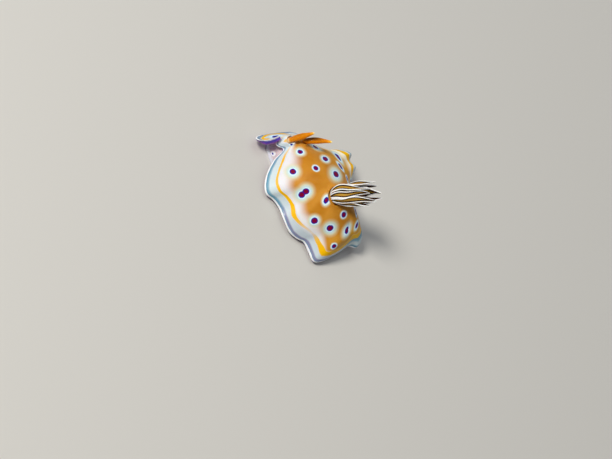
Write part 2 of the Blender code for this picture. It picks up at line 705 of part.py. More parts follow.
def apply_transform(made):
    """Write an object's place and turn into its mesh."""
    bpy.context.view_layer.update()
    made.data.transform(made.matrix_world)
    made.matrix_world = Matrix()


def main():
    """Build the animal from its back to its foot."""
    for old in list(bpy.data.objects):
        bpy.data.objects.remove(old)
    model = bpy.data.collections.new("nudibranch")
    cutters = bpy.data.collections.new("cutters")
    bpy.context.scene.collection.children.link(model)
    bpy.context.scene.collection.children.link(cutters)
    make_back(model, cutters)
    make_hem(model, cutters)
    make_foot(model, cutters)
    make_head(model, cutters)
    make_rhinophores(model)
    make_gills(model, cutters)


main()
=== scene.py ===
"""A museum model of a chromodorid sea slug, dressed over its solids at life size.

The animal crawls along +X with its left side towards +Y, on a floor at z = 0. Sizes are real ones in
millimetres and are turned to metres where a mesh is made. The mantle is one loft whose ribs run from
a ridge along the back to a ruffled edge. Marks on the skin are distances that the mesh carries, such
as how far a point is from the mantle's edge, and the finishes turn those distances into colours.
"""

import logging
import math
from collections.abc import Sequence
from dataclasses import dataclass, field
from enum import Enum

import bpy
import numpy as np
from mathutils import Matrix, Vector
from mathutils.kdtree import KDTree


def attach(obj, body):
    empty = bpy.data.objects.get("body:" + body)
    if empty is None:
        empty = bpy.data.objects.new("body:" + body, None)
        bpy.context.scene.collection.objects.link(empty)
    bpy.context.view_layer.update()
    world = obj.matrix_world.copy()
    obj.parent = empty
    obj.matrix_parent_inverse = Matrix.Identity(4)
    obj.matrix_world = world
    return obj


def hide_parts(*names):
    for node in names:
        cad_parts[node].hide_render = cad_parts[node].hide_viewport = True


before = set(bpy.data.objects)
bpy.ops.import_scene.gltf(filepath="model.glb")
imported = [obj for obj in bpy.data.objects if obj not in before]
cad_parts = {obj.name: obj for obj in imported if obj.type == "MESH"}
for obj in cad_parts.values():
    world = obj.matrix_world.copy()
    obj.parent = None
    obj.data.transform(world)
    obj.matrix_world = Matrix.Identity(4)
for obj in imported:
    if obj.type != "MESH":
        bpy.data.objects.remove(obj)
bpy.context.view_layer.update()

LOG = logging.getLogger("nudibranch")
MM = 0.001
IMAGE_WIDTH, IMAGE_HEIGHT = 612, 459
# Distance in mm of points that no mark is near, one that counts as none, in mm or pixels, and a size
# that keeps a division from failing
FAR = 50.0
CLOSE = 0.01
TINY = 1e-9
# Square of how wide the gaps between leaves are, against the step from one leaf to the next
GAP_WIDTH = 0.03

Point = tuple[float, float, float]

# Edge of the mantle as forward, left, up and the point of the ridge that its rib starts from,
# walked from the front round the left side
MANTLE_EDGE = (
    (11.9, 3.9, 3.9, 6.2), (11.9, 5.9, 3.8, 6.7), (11.9, 8.1, 3.4, 7.2), (11.8, 10.0, 2.9, 7.8),
    (11.7, 12.2, 2.3, 8.4), (11.3, 14.9, 2.5, 8.9), (10.5, 17.0, 3.3, 9.0), (9.6, 17.3, 4.5, 9.0),
    (9.2, 15.9, 5.2, 8.9), (9.2, 13.6, 5.3, 8.4), (9.4, 11.0, 5.0, 7.7), (9.6, 9.2, 4.6, 7.2),
    (9.2, 8.9, 4.0, 6.9), (8.8, 9.8, 3.5, 6.7), (8.1, 9.2, 3.4, 6.4), (7.5, 7.7, 3.6, 6.1),
    (7.0, 7.4, 3.6, 5.8), (6.1, 8.4, 3.3, 5.5), (4.4, 10.6, 2.4, 5.0), (1.1, 13.8, 2.2, 4.1),
    (-2.2, 15.5, 1.9, 3.4), (-4.8, 15.4, 1.7, 2.9), (-6.4, 13.0, 1.5, 2.6),
    (-8.8, 11.3, 1.6, 2.2), (-12.2, 10.8, 2.0, 1.6), (-15.5, 9.1, 1.6, 1.0),
    (-17.4, 6.6, 1.5, 0.6), (-18.6, 4.4, 1.8, 0.3), (-21.4, 3.0, 1.6, 0.1),
    (-23.9, 1.8, 1.5, 0.0), (-24.2, -0.6, 1.8, 0.0), (-23.3, -4.2, 1.9, 0.0),
    (-21.8, -8.3, 2.0, 0.0), (-20.3, -11.8, 2.8, 0.1), (-20.9, -14.1, 3.5, 0.2),
    (-18.4, -15.9, 4.0, 0.5), (-14.5, -15.0, 2.6, 1.1), (-10.5, -14.6, 1.7, 1.8),
    (-6.0, -14.8, 3.0, 2.5), (-2.0, -14.6, 6.0, 3.2), (0.6, -14.6, 8.2, 3.6), (2.9, -14.9, 6.4, 3.9),
    (4.5, -13.9, 8.2, 4.2), (6.1, -12.1, 6.4, 4.7), (6.5, -8.8, 4.8, 5.0), (8.2, -5.2, 3.6, 5.3),
    (10.2, -2.0, 3.4, 5.6), (11.4, 1.4, 3.8, 5.9),
)
# Ridge of the back as forward, left, up, from the tail end over the neck into the front lobe
RIDGE = (
    (-17.0, -6.0, 9.2), (-13.0, -4.8, 11.8), (-8.4, -2.0, 12.6), (-3.0, -0.2, 12.2),
    (2.0, 1.2, 10.2), (6.0, 2.8, 7.6), (8.9, 4.4, 6.0), (10.4, 7.2, 5.0), (10.6, 10.4, 4.4),
    (10.4, 13.6, 4.0),
)
# Outline of the foot, and of the body wall that rises from it, as forward and left
FOOT_EDGE = (
    (11.9, 4.6), (11.0, 8.6), (8.8, 10.6), (6.2, 10.6), (2.5, 9.8), (-2.0, 9.2), (-7.0, 8.2),
    (-12.0, 5.6), (-16.5, 2.6), (-20.0, 0.2), (-22.6, -2.6), (-20.6, -4.9), (-16.5, -7.4),
    (-11.0, -9.6), (-5.0, -9.8), (1.0, -8.8), (5.0, -6.6), (8.0, -3.2), (10.6, 0.4),
)
BODY_WALL = (
    (10.4, 4.6), (9.7, 6.6), (8.0, 6.8), (5.8, 6.8), (2.3, 7.6), (-2.0, 7.4), (-6.8, 6.4),
    (-11.4, 4.0), (-15.0, 1.2), (-17.4, -0.9), (-18.6, -3.0), (-17.4, -4.4), (-14.6, -6.2),
    (-10.6, -7.8), (-5.0, -8.0), (0.6, -7.2), (4.4, -5.2), (7.2, -2.2), (9.3, 1.2),
)
# Rings of the foot's rim and the body wall, as share of the way in from FOOT_EDGE to BODY_WALL and
# height in mm
WALL_RINGS = (
    (0.05, 0.0), (0.012, 0.16), (0.0, 0.42), (0.03, 0.66), (0.1, 0.82), (0.3, 0.95), (0.55, 1.1),
    (0.8, 1.4), (0.95, 1.9), (1.0, 2.6),
)
# Rings that close the body inside the back, as share of the way in from BODY_WALL to BODY_MIDLINE
# and depth in mm under the skin, and the midline's ends as two values forward and two to the left
INNER_RINGS = ((0.0, 0.3), (0.06, 0.8), (0.2, 2.4), (0.5, 2.6), (0.98, 2.6))
BODY_MIDLINE = ((-17.0, 8.6), (-3.0, 4.4))
# How the marks of the margin change round the edge: number of the edge's point, width of its bands
# against the usual one, distance in mm of the golden line from the edge, its strength and half width
# in mm, and width in mm of the pale zone inside it
MARGIN_MARKS = (
    (0, 0.7, 2.1, 0.4, 0.36, 0.8), (1.8, 1.2, 1.0, 0.8, 0.40, 0.6), (4, 1.5, 1.0, 1.0, 0.45, 0.3),
    (5, 1.5, 1.4, 1.0, 0.50, 0.3), (6, 1.5, 2.2, 1.0, 0.55, 0.3), (7, 1.5, 2.3, 1.0, 0.55, 0.3),
    (8, 1.4, 3.0, 1.0, 0.50, 0.3), (9.5, 1.4, 3.2, 0.9, 0.45, 0.3), (11, 0.8, 2.4, 0.1, 0.35, 0.3),
    (12, 0.4, 2.2, 0.7, 0.30, 0.3), (14, 0.4, 2.3, 1.0, 0.36, 0.3), (15, 0.5, 2.1, 0.4, 0.35, 0.4),
    (17, 0.7, 1.9, 0.4, 0.35, 1.2), (18.2, 1.0, 3.0, 1.0, 0.40, 4.5),
    (19, 1.0, 3.2, 0.9, 0.34, 6.0), (20, 1.0, 3.1, 0.9, 0.34, 5.2), (20.8, 1.0, 3.6, 1.0, 0.44, 3.4),
    (21.8, 1.0, 3.4, 1.0, 0.44, 3.6), (22.7, 1.0, 3.5, 1.0, 0.48, 3.4), (23.4, 1.0, 3.3, 1.0, 0.60, 3.1),
    (23.8, 1.0, 2.6, 1.0, 0.75, 3.1), (24.2, 1.0, 2.8, 1.0, 0.60, 3.6), (24.8, 1.0, 3.8, 0.8, 0.42, 4.3),
    (25.3, 1.0, 4.4, 0.4, 0.34, 3.7), (26.2, 1.0, 4.2, 0.1, 0.30, 2.7), (27, 1.0, 3.1, 0.9, 0.55, 2.1),
    (28, 1.0, 3.4, 1.0, 0.85, 1.1), (29.3, 1.0, 3.4, 1.0, 1.00, 0.3), (30.8, 1.0, 3.2, 1.0, 1.20, 0.3),
    (31.7, 0.7, 4.4, 1.0, 1.30, 0.3), (32.5, 1.1, 5.6, 1.0, 1.10, 0.3), (34.5, 1.3, 6.4, 1.0, 0.95, 0.3),
    (36.5, 1.0, 3.6, 1.0, 0.50, 0.6), (39.5, 0.8, 2.8, 1.0, 0.60, 1.2), (40.5, 0.9, 2.5, 1.0, 0.80, 2.4),
    (42, 0.9, 2.5, 1.0, 0.90, 4.4), (42.8, 0.8, 2.5, 1.0, 0.80, 4.4), (44, 0.7, 2.2, 0.9, 0.50, 0.8),
    (46, 0.7, 2.2, 0.8, 0.40, 0.8),
)
# How blue-green the bands are, how yellow the skin inside the golden line is, and how far the
# blue-green comes back just outside that line, round the edge
MARGIN_TINTS = (
    (0, 0.3, 0.0, 0.0), (8, 0.4, 0.0, 0.0), (17, 0.5, 0.0, 0.0), (19, 0.9, 0.0, 0.0),
    (22.4, 0.9, 0.0, 0.0), (23.6, 0.0, 0.0, 0.0), (29, 0.0, 0.3, 0.0), (31, 0.2, 0.9, 0.2),
    (32, 0.9, 1.0, 0.9), (33.5, 1.0, 0.9, 1.0), (35.5, 1.0, 0.6, 1.0), (38, 0.5, 0.2, 0.0),
    (40.5, 1.0, 0.9, 0.0), (43, 1.0, 1.0, 0.0), (44.5, 0.5, 0.5, 0.0), (46, 0.3, 0.0, 0.0),
)


def smooth(start: float, end: float, value: np.ndarray) -> np.ndarray:
    """Rise from 0 at start to 1 at end with no kink."""
    share = np.clip((value - start) / (end - start), 0.0, 1.0)
    return share * share * (3.0 - 2.0 * share)


def window(
    value: np.ndarray, opens: tuple[float, float], closes: tuple[float, float]
) -> np.ndarray:
    """1 between two slopes, each of them given by where it is 0 and where it is 1."""
    return smooth(*opens, value) * smooth(*closes, value)


def gaps(phase: np.ndarray) -> np.ndarray:
    """Narrow gaps between leaves, one for each whole number of the phase, as 0 to 1."""
    return np.exp(-(((phase % 1.0) - 0.5) ** 2) / GAP_WIDTH)


def linear(code: str) -> tuple[float, float, float, float]:
    """Turn an sRGB hex colour into the linear one that a shader reads."""
    parts = [int(code[k : k + 2], 16) / 255.0 for k in (1, 3, 5)]
    return (*[p / 12.92 if p <= 0.04045 else ((p + 0.055) / 1.055) ** 2.4 for p in parts], 1.0)


def through(four: Sequence[np.ndarray], part: np.ndarray) -> np.ndarray:
    """Points of a curve between the second and third of four points that it passes through.

    Args:
        four: The four points, or as many rows of them as there are places.
        part: Share of the way from the second to the third point, for each place.

    Returns:
        One point for each place.
    """
    before, here, after, beyond = four
    part = part[:, None]
    bend = 2 * before - 5 * here + 4 * after - beyond
    twist = 3 * here - 3 * after + beyond - before
    return 0.5 * (2 * here + (after - before) * part + bend * part**2 + twist * part**3)


def closed_curve(points: Sequence, at: np.ndarray) -> np.ndarray:
    """Points of a closed curve through all the given ones.

    Args:
        points: The points that the curve passes through.
        at: Places on it, as fractions of the count of given points.

    Returns:
        One point for each place.
    """
    given = np.asarray(points, float)
    index = np.floor(at).astype(int)
    return through([given[(index + k) % len(given)] for k in (-1, 0, 1, 2)], at - index)


def ridge_at(point: np.ndarray) -> np.ndarray:
    """Points of the ridge.

    Args:
        point: Number of the table's point before each place, and the share of the way past it.

    Returns:
        One point in mm for each place.
    """
    given = np.asarray(RIDGE)
    longer = np.concatenate([[2 * given[0] - given[1]], given, [2 * given[-1] - given[-2]]])
    index = np.clip(np.floor(point).astype(int), 0, len(given) - 2)
    return through([longer[index + k] for k in range(4)], point - index)


def softened(lines: np.ndarray, length: float, spread: float) -> np.ndarray:
    """Blur lines of values that run round the mantle's edge in even steps.

    Args:
        lines: One row of values for each line.
        length: Length of the edge in mm.
        spread: How far the blur reaches, as the deviation of a bell curve in mm.

    Returns:
        The blurred rows.
    """
    index = np.arange(len(lines[0]))
    away = np.minimum(index, len(index) - index) * length / len(index)
    weight = np.exp(-0.5 * (away / spread) ** 2)
    wave = np.fft.fft(lines, axis=1) * np.fft.fft(weight / weight.sum())
    return np.real(np.fft.ifft(wave, axis=1))


def add_node(
    tree: bpy.types.NodeTree,
    kind: str,
    inputs: dict | None = None,
    stops: Sequence[tuple[float, str]] = (),
    **settings: object,
) -> bpy.types.Node:
    """Add a shader node.

    Args:
        tree: The material's node tree.
        kind: Blender's name of the node.
        inputs: A value or another node's output for each socket, by name or number.
        stops: Place and sRGB hex colour of each stop, where the node is a colour ramp.
        settings: The node's own properties.

    Returns:
        The new node.
    """
    node = tree.nodes.new(kind)
    for name, value in settings.items():
        setattr(node, name, value)
    for name, value in (inputs or {}).items():
        if isinstance(value, bpy.types.NodeSocket):
            tree.links.new(value, node.inputs[name])
        else:
            node.inputs[name].default_value = value
    for k, (place, code) in enumerate(stops):
        elements = node.color_ramp.elements
        stop = elements[k] if k < 2 else elements.new(place)
        stop.position = place
        stop.color = linear(code)
    return node


def from_circle(points: np.ndarray, centre: Sequence[float], radius: float) -> np.ndarray:
    """Distance in plan of each point from a circle, in mm and less than 0 inside it."""
    return np.hypot(points[..., 0] - centre[0], points[..., 1] - centre[1]) - radius


class Zone(Enum):
    """Which finish a face of the animal's one skin has, by the number of its material slot."""

    BACK = 0
    UNDERSIDE = 1
    FOOT = 2


@dataclass(frozen=True)
class PhotoView:
    """Where the photograph was taken from, as angles in degrees and lengths in mm.

    The camera looks from the animal's left, from above and a little behind, and is turned so that
    the head is at the top of the picture.
    """

    elevation: float = 42.0
    azimuth: float = 12.0
    roll: float = 19.0
    pixels_per_mm: float = 4.4 / 1.2
    anchor: Point = (-8.4, 0.0, 12.4)
    anchor_pixel: tuple[float, float] = (336.0, 196.0)
    distance: float = 1500.0
    sensor: float = 36.0

    def axes(self) -> tuple[np.ndarray, np.ndarray, np.ndarray]:
        """The directions of the picture.

        Returns:
            The picture's right, its up and the way from the animal to the camera.
        """
        lift, turn, roll = np.radians([self.elevation, self.azimuth, self.roll])
        back = np.array(
            [-math.sin(turn) * math.cos(lift), math.cos(turn) * math.cos(lift), math.sin(lift)]
        )
        rise = np.array([0.0, 0.0, 1.0]) - back[2] * back
        rise /= np.linalg.norm(rise)
        ahead = np.cross(back, rise)
        right = rise * math.cos(roll) - ahead * math.sin(roll)
        up = ahead * math.cos(roll) + rise * math.sin(roll)
        return right, up, back

    def place(self) -> np.ndarray:
        """Where the camera stands.

        Returns:
            Its place in mm.
        """
        right, up, back = self.axes()
        across = (IMAGE_WIDTH / 2 - self.anchor_pixel[0]) / self.pixels_per_mm
        upward = (self.anchor_pixel[1] - IMAGE_HEIGHT / 2) / self.pixels_per_mm
        return np.asarray(self.anchor) + right * across + up * upward + back * self.distance

    def project(self, points: np.ndarray) -> np.ndarray:
        """Where points are in the picture.

        Args:
            points: The points in mm.

        Returns:
            Pixel across, pixel down and distance in mm from the camera of each point.
        """
        right, up, back = self.axes()
        away = points - self.place()
        depth = -(away @ back)
        spread = self.pixels_per_mm * self.distance / depth
        across = IMAGE_WIDTH / 2 + spread * (away @ right)
        down = IMAGE_HEIGHT / 2 - spread * (away @ up)
        return np.stack([across, down, depth], axis=1)

    def make_camera(self) -> None:
        """Add the camera and make it the scene's."""
        right, up, back = self.axes()
        data = bpy.data.cameras.new("photo_camera")
        data.sensor_width = self.sensor
        data.lens = self.sensor * self.distance * self.pixels_per_mm / IMAGE_WIDTH
        data.clip_start, data.clip_end = 0.05, 20.0
        camera = bpy.data.objects.new("photo_camera", data)
        turned = Matrix([right, up, back]).transposed().to_4x4()
        camera.matrix_world = Matrix.Translation(Vector(self.place() * MM)) @ turned
        bpy.context.scene.collection.objects.link(camera)
        bpy.context.scene.camera = camera


@dataclass
class Loft:
    """The form of the mantle: ribs from the ridge of the back to the ruffled edge.

    A point of it is named by its place round the edge in mm, and by 0 at the ridge to 1 at the edge.
    """

    steps: int = 1200
    hem_height: float = 1.5
    broad_wave: float = 1.8
    base_share: float = 0.94
    lift_wave: float = 3.0
    dome_power: float = 2.2
    steep_side: float = 0.78
    spread_side: float = 1.08
    ruffle_start: float = 0.64
    ruffle_power: float = 1.3
    roll_spans: tuple[float, float, float, float] = (7.1, 8.3, 10.8, 11.9)
    roll_reach: tuple[float, float] = (0.2, 1.1)
    roll_depth: float = 0.9

    def __post_init__(self) -> None:
        """Cut the edge into even steps and find where the ribs of its points start."""
        points = [row[:3] for row in MANTLE_EDGE]
        fine = closed_curve(points, np.arange(self.steps * 8) * len(points) / (self.steps * 8))
        paces = np.linalg.norm(np.roll(fine, -1, 0) - fine, axis=1)
        reach = np.concatenate([[0.0], np.cumsum(paces)])
        around = np.concatenate([fine, fine[:1]])
        self.length = float(reach[-1])
        at = np.arange(self.steps) * self.length / self.steps
        self.edge = np.stack([np.interp(at, reach, around[:, k]) for k in range(3)], axis=1)
        self.reach = np.arange(self.steps + 1) * self.length / self.steps
        starts = [self.place_of(index) for index in range(len(MANTLE_EDGE))]
        ribs = [row[3] for row in MANTLE_EDGE]
        self.starts = np.array([*starts, self.length])
        self.roll_places = [self.place_of(index) for index in self.roll_spans]
        self.ribs = np.array([*ribs, ribs[0]])
        self.base = softened(self.edge.T, self.length, self.broad_wave).T
        self.base[:, 2] = softened(self.edge.T, self.length, self.lift_wave)[2]
        foot = self.foot(self.reach[:-1])
        self.base[:, :2] = foot[:, :2] + (self.base - foot)[:, :2] * self.base_share

    def _read(self, ring: np.ndarray, place: np.ndarray) -> np.ndarray:
        """Points of a closed line that has one point for each even step round the edge.

        Args:
            ring: The line's own points.
            place: Places round the edge in mm.

        Returns:
            One point for each place.
        """
        around = np.concatenate([ring, ring[:1]])
        place = np.mod(place, self.length)
        return np.stack([np.interp(place, self.reach, around[:, k]) for k in range(3)], axis=1)

    def place_of(self, index: float) -> float:
        """Place round the edge of a point of its outline.

        Args:
            index: Number of the point, with a share of the way to the next one.

        Returns:
            The place in mm.
        """
        whole = int(index)
        point = np.asarray(MANTLE_EDGE[whole % len(MANTLE_EDGE)][:3])
        here = float(self.reach[int(np.argmin(np.linalg.norm(self.edge - point, axis=1)))])
        here = 0.0 if whole == 0 else here
        if index == whole:
            return here
        return here + (index - whole) * (self.place_of(whole + 1) - here)

    def rolled(self, place: np.ndarray) -> np.ndarray:
        """How far each place's edge is rolled up, as 0 to 1; only the front lobe's rear edge is."""
        first, full, last, end = self.roll_places
        return window(place, (first, full), (end, last))

    def station(self, place: np.ndarray) -> np.ndarray:
        """The point of the ridge that the rib of each place starts from."""
        return np.interp(np.mod(place, self.length), self.starts, self.ribs)

    def foot(self, place: np.ndarray) -> np.ndarray:
        """Where on the ridge the rib of each place starts, in mm."""
        return ridge_at(self.station(place))

    def surface(self, place: np.ndarray, rib: np.ndarray) -> np.ndarray:
        """Points of the upper skin in mm.

        Args:
            place: Place round the edge of each point.
            rib: How far out along its rib each point is.

        Returns:
            One point for each pair of place and rib.
        """
        edge, base, foot = self._read(self.edge, place), self._read(self.base, place), self.foot(place)
        rib = np.asarray(rib, float)[:, None]
        ruffle = np.clip((rib - self.ruffle_start) / (1 - self.ruffle_start), 0, 1) ** self.ruffle_power
        out = base[:, :2] - foot[:, :2]
        left = np.clip(out[:, 1:] / np.linalg.norm(out, axis=1)[:, None], 0, 1)
        fall = self.steep_side + (self.spread_side - self.steep_side) * left
        dome = np.clip(1 - rib**self.dome_power, 0, 1) ** fall
        flat = foot[:, :2] + out * rib + (edge - base)[:, :2] * ruffle
        _, full, last, _ = self.roll_places
        reach = np.interp(place, (full, last), self.roll_reach)[:, None]
        roll = reach * rib**1.5 - self.roll_depth * np.sin(math.pi * rib**1.3)
        flat[:, :1] += self.rolled(place)[:, None] * roll
        rise = (foot[:, 2:] - self.hem_height) * dome + (base[:, 2:] - self.hem_height) * rib**3
        return np.hstack([flat, self.hem_height + rise + (edge - base)[:, 2:] * ruffle])


@dataclass(frozen=True)
class Collar:
    """A ring of skin raised round a feeler or the gills, with a pocket inside it."""

    centre: tuple[float, float]
    radius: float
    height: float
    width: float
    depth: float
    outer_slope: float = 1.6
    inner_slope: float = 0.7
    pocket: tuple[float, float] = (-0.1, -0.55)

    def relief(self, points: np.ndarray) -> np.ndarray:
        """How far the collar lifts the skin.

        Args:
            points: Points of the skin in mm.

        Returns:
            The lift of each point in mm, less than 0 in the pocket.
        """
        away = from_circle(points, self.centre, self.radius)
        slope = np.where(away > 0, self.width * self.outer_slope, self.width * self.inner_slope)
        ring = self.height * np.exp(-((away / slope) ** 2))
        return ring - self.depth * smooth(*self.pocket, away)

    def crest(self, points: np.ndarray) -> np.ndarray:
        """How near each point of the skin is to the collar's top, as 0 to 1."""
        return np.exp(-((from_circle(points, self.centre, self.radius) / self.width) ** 2))


@dataclass(frozen=True)
class Spot:
    """A purple spot in a pale halo.

    Its place is a pixel of the photograph, or for one on a side that it doesn't show, forward and
    left in mm. A long one reaches from its place to its end.
    """

    place: tuple[float, float]
    radius: float = 0.75
    halo: float = 1.3
    end: tuple[float, float] | None = None
    seen: bool = True


@dataclass
class Mesh:
    """Points and faces of a surface in mm, with what the finishes read at each point."""

    points: np.ndarray
    faces: list
    zone: Zone = Zone.BACK
    zones: np.ndarray | None = None
    marks: dict[str, np.ndarray] = field(default_factory=dict)

    def build(self, name: str, materials: Sequence[bpy.types.Material]) -> bpy.types.Object:
        """Make it an object of the scene, smooth shaded.

        Args:
            name: The object's name.
            materials: Its material slots in order.

        Returns:
            The new object.
        """
        mesh = bpy.data.meshes.new(name)
        mesh.from_pydata((self.points * MM).tolist(), [], self.faces)
        for finish in materials:
            mesh.materials.append(finish)
        if self.zones is not None:
            mesh.polygons.foreach_set("material_index", self.zones.astype(np.int32))
        for mark, values in self.marks.items():
            made = mesh.attributes.new(mark, "FLOAT", "POINT")
            made.data.foreach_set("value", values.astype(np.float32))
        mesh.shade_smooth()
        piece = bpy.data.objects.new(name, mesh)
        bpy.context.scene.collection.objects.link(piece)
        return piece


def grid(rows: int, columns: int, first: int = 0) -> list[tuple[int, int, int, int]]:
    """Faces between closed rings of points that follow one another in a list.

    Args:
        rows: How many rings there are.
        columns: How many points each ring has.
        first: Number of the first point.

    Returns:
        Four point numbers for each face, which faces outward where the rings run anticlockwise as
        seen from the side that they end on, and shrink towards it.
    """
    row, column = np.meshgrid(np.arange(rows - 1), np.arange(columns), indexing="ij")
    after = (column + 1) % columns
    low, high = first + row * columns, first + (row + 1) * columns
    faces = np.stack([low + column, low + after, high + after, high + column], axis=-1)
    return [tuple(face) for face in faces.reshape(-1, 4).tolist()]


def tube(rows: int, columns: int) -> list[tuple[int, ...]]:
    """Faces of a closed tube, whose rings of points follow one another in a list.

    Args:
        rows: How many rings there are.
        columns: How many points each ring has.

    Returns:
        The point numbers of each face, with those of the two ends last.
    """
    last = (rows - 1) * columns
    caps = [tuple(range(columns))[::-1], tuple(range(last, last + columns))]
    return grid(rows, columns) + caps


def lathe(line: np.ndarray, frames: np.ndarray, radii: np.ndarray) -> np.ndarray:
    """Rings of points round a bent line.

    Args:
        line: Points along the middle, one for each ring.
        frames: The two directions across the line at each of them.
        radii: Radius in mm of each ring at each angle.

    Returns:
        The points ring after ring.
    """
    angles = np.arange(radii.shape[1]) * 2 * math.pi / radii.shape[1]
    out = frames[:, 0, None] * np.cos(angles)[None, :, None]
    out = out + frames[:, 1, None] * np.sin(angles)[None, :, None]
    return (line[:, None] + out * radii[..., None]).reshape(-1, 3)


def frames_along(line: np.ndarray, toward: np.ndarray) -> np.ndarray:
    """Two directions across a bent line at each of its points.

    Args:
        line: The points of the line.
        toward: The way that the first direction is turned to, as far as it can be.

    Returns:
        Two directions for each point, square to the line and to each other.
    """
    ahead = np.gradient(line, axis=0)
    ahead /= np.linalg.norm(ahead, axis=1)[:, None]
    first = toward - (ahead @ toward)[:, None] * ahead
    first /= np.linalg.norm(first, axis=1)[:, None]
    return np.stack([first, np.cross(ahead, first)], axis=1)


def bezier(start: np.ndarray, bend: np.ndarray, end: np.ndarray, share: np.ndarray) -> np.ndarray:
    """Points of a bent line.

    Args:
        start: Where it starts.
        bend: The point that it leaves its start towards.
        end: Where it ends.
        share: Share of the way along it, for each point.

    Returns:
        One point for each share.
    """
    share = share[:, None]
    return start * (1 - share) ** 2 + 2 * bend * share * (1 - share) + end * share**2


@dataclass(frozen=True)
class Layer:
    """A colour laid over those below it, as far as its value says, from 0 to 1.

    With limits, it begins where the value is the first of them and is full from the second on.
    With a strength, it covers no more than that.
    """

    value: bpy.types.NodeSocket
    colour: bpy.types.NodeSocket | str
    limits: tuple[float, float] | None = None
    strength: bpy.types.NodeSocket | None = None


@dataclass(frozen=True)
class Palette:
    """Where a finish mixes its colour: its node tree, and what it reads at each point by name."""

    tree: bpy.types.NodeTree
    read: dict[str, bpy.types.NodeSocket]

    def wandering(self, mark: str, clouds: str, span: float) -> bpy.types.NodeSocket:
        """A distance whose lines wander as they do on real skin.

        Args:
            mark: The distance's name.
            clouds: Name of the pattern that moves its lines.
            span: How far they wander in all, half of it either way.

        Returns:
            The output that carries the moved distance.
        """
        inputs = {0: self.read[clouds], 1: span, 2: self.read[mark]}
        moved = add_node(self.tree, "ShaderNodeMath", inputs, operation="MULTIPLY_ADD")
        inputs = {0: moved.outputs[0], 1: span / 2}
        return add_node(self.tree, "ShaderNodeMath", inputs, operation="SUBTRACT").outputs[0]

    def banded(
        self, distance: bpy.types.NodeSocket, span: float, stops: Sequence[tuple[float, str]]
    ) -> bpy.types.NodeSocket:
        """Bands of colour along a distance.

        Args:
            distance: The output that carries the distance in mm.
            span: How many mm the whole row of bands takes.
            stops: Share of the span and sRGB hex colour of each stop.

        Returns:
            The output that carries the colour.
        """
        share = add_node(self.tree, "ShaderNodeMath", {0: distance, 1: span}, operation="DIVIDE")
        inputs = {"Fac": share.outputs[0]}
        return add_node(self.tree, "ShaderNodeValToRGB", inputs, stops=stops).outputs["Color"]

    def layered(self, under: bpy.types.NodeSocket, layers: Sequence[Layer]) -> bpy.types.NodeSocket:
        """Lay colours over one another.

        Args:
            under: The lowest colour.
            layers: The colours over it, from the lowest up.

        Returns:
            The output that carries the finished colour.
        """
        for layer in layers:
            share = layer.value
            if layer.limits is not None:
                inputs = {"Value": share, "From Min": layer.limits[0], "From Max": layer.limits[1]}
                settings = {"interpolation_type": "SMOOTHSTEP"}
                share = add_node(self.tree, "ShaderNodeMapRange", inputs, **settings).outputs["Result"]
            if layer.strength is not None:
                inputs = {0: share, 1: layer.strength}
                share = add_node(self.tree, "ShaderNodeMath", inputs, operation="MULTIPLY").outputs[0]
            over = linear(layer.colour) if isinstance(layer.colour, str) else layer.colour
            inputs = {"Factor": share, 6: under, 7: over}
            under = add_node(self.tree, "ShaderNodeMix", inputs, data_type="RGBA").outputs[2]
        return under


def start_material(name: str) -> tuple[bpy.types.Material, bpy.types.NodeTree, bpy.types.Node]:
    """Add a material.

    Args:
        name: Its name.

    Returns:
        The material, its node tree and its shader.
    """
    material = bpy.data.materials.new(name)
    material.use_nodes = True
    return material, material.node_tree, material.node_tree.nodes["Principled BSDF"]


@dataclass(frozen=True)
class WetSkin:
    """Living skin of a sea slug, smooth and wet.

    Soft tissue over a gland layer lets some light in, so colours glow a little from inside. The
    slime on it is a thin clear film, which gives small sharp highlights over a satin skin.

    The marks are the distances and shares that the mesh carries. The patterns are clouds, each with
    its size in mm and how finely its borders break up.
    """

    name: str
    marks: tuple[str, ...]
    patterns: tuple[tuple[str, float, float], ...] = ()
    edge: str = "#F9FBFF"
    violet: str = "#16109A"
    band_span: float = 8.0
    ior: float = 1.38
    roughness: float = 0.42
    glow: float = 0.12
    glow_colours: Point = (1.0, 0.5, 0.3)
    glow_depth: float = 0.5
    specular: float = 0.2
    film: float = 0.07
    film_roughness: float = 0.1
    grain_strength: float = 0.25
    grain_height: float = 0.04

    def build(self) -> bpy.types.Material:
        """Make the material: the finish's own colours under the film of slime.

        Returns:
            The new material.
        """
        material, tree, shader = start_material(self.name)
        read = {
            mark: add_node(tree, "ShaderNodeAttribute", attribute_name=mark).outputs["Fac"]
            for mark in self.marks
        }
        if self.patterns:
            place = add_node(tree, "ShaderNodeTexCoord").outputs["Object"]
        for name, size, detail in self.patterns:
            inputs = {"Vector": place, "Scale": 1.0 / (size * MM), "Detail": detail}
            read[name] = add_node(tree, "ShaderNodeTexNoise", inputs).outputs["Fac"]
        tree.links.new(self.colour(Palette(tree, read)), shader.inputs["Base Color"])
        if "grain" in read:
            inputs = {
                "Height": read["grain"],
                "Strength": self.grain_strength,
                "Distance": self.grain_height * MM,
            }
            bump = add_node(tree, "ShaderNodeBump", inputs)
            tree.links.new(bump.outputs["Normal"], shader.inputs["Normal"])
        same_all_over = {
            "Roughness": self.roughness,
            "IOR": self.ior,
            "Subsurface Weight": self.glow,
            "Subsurface Radius": self.glow_colours,
            "Subsurface Scale": self.glow_depth * MM,
            "Specular IOR Level": self.specular,
            "Coat Weight": self.film,
            "Coat Roughness": self.film_roughness,
        }
        for socket, value in same_all_over.items():
            shader.inputs[socket].default_value = value
        return material

    def colour(self, on: Palette) -> bpy.types.NodeSocket:
        """Mix the skin's colour on the palette and give its output; each finish has its own way."""
        raise NotImplementedError


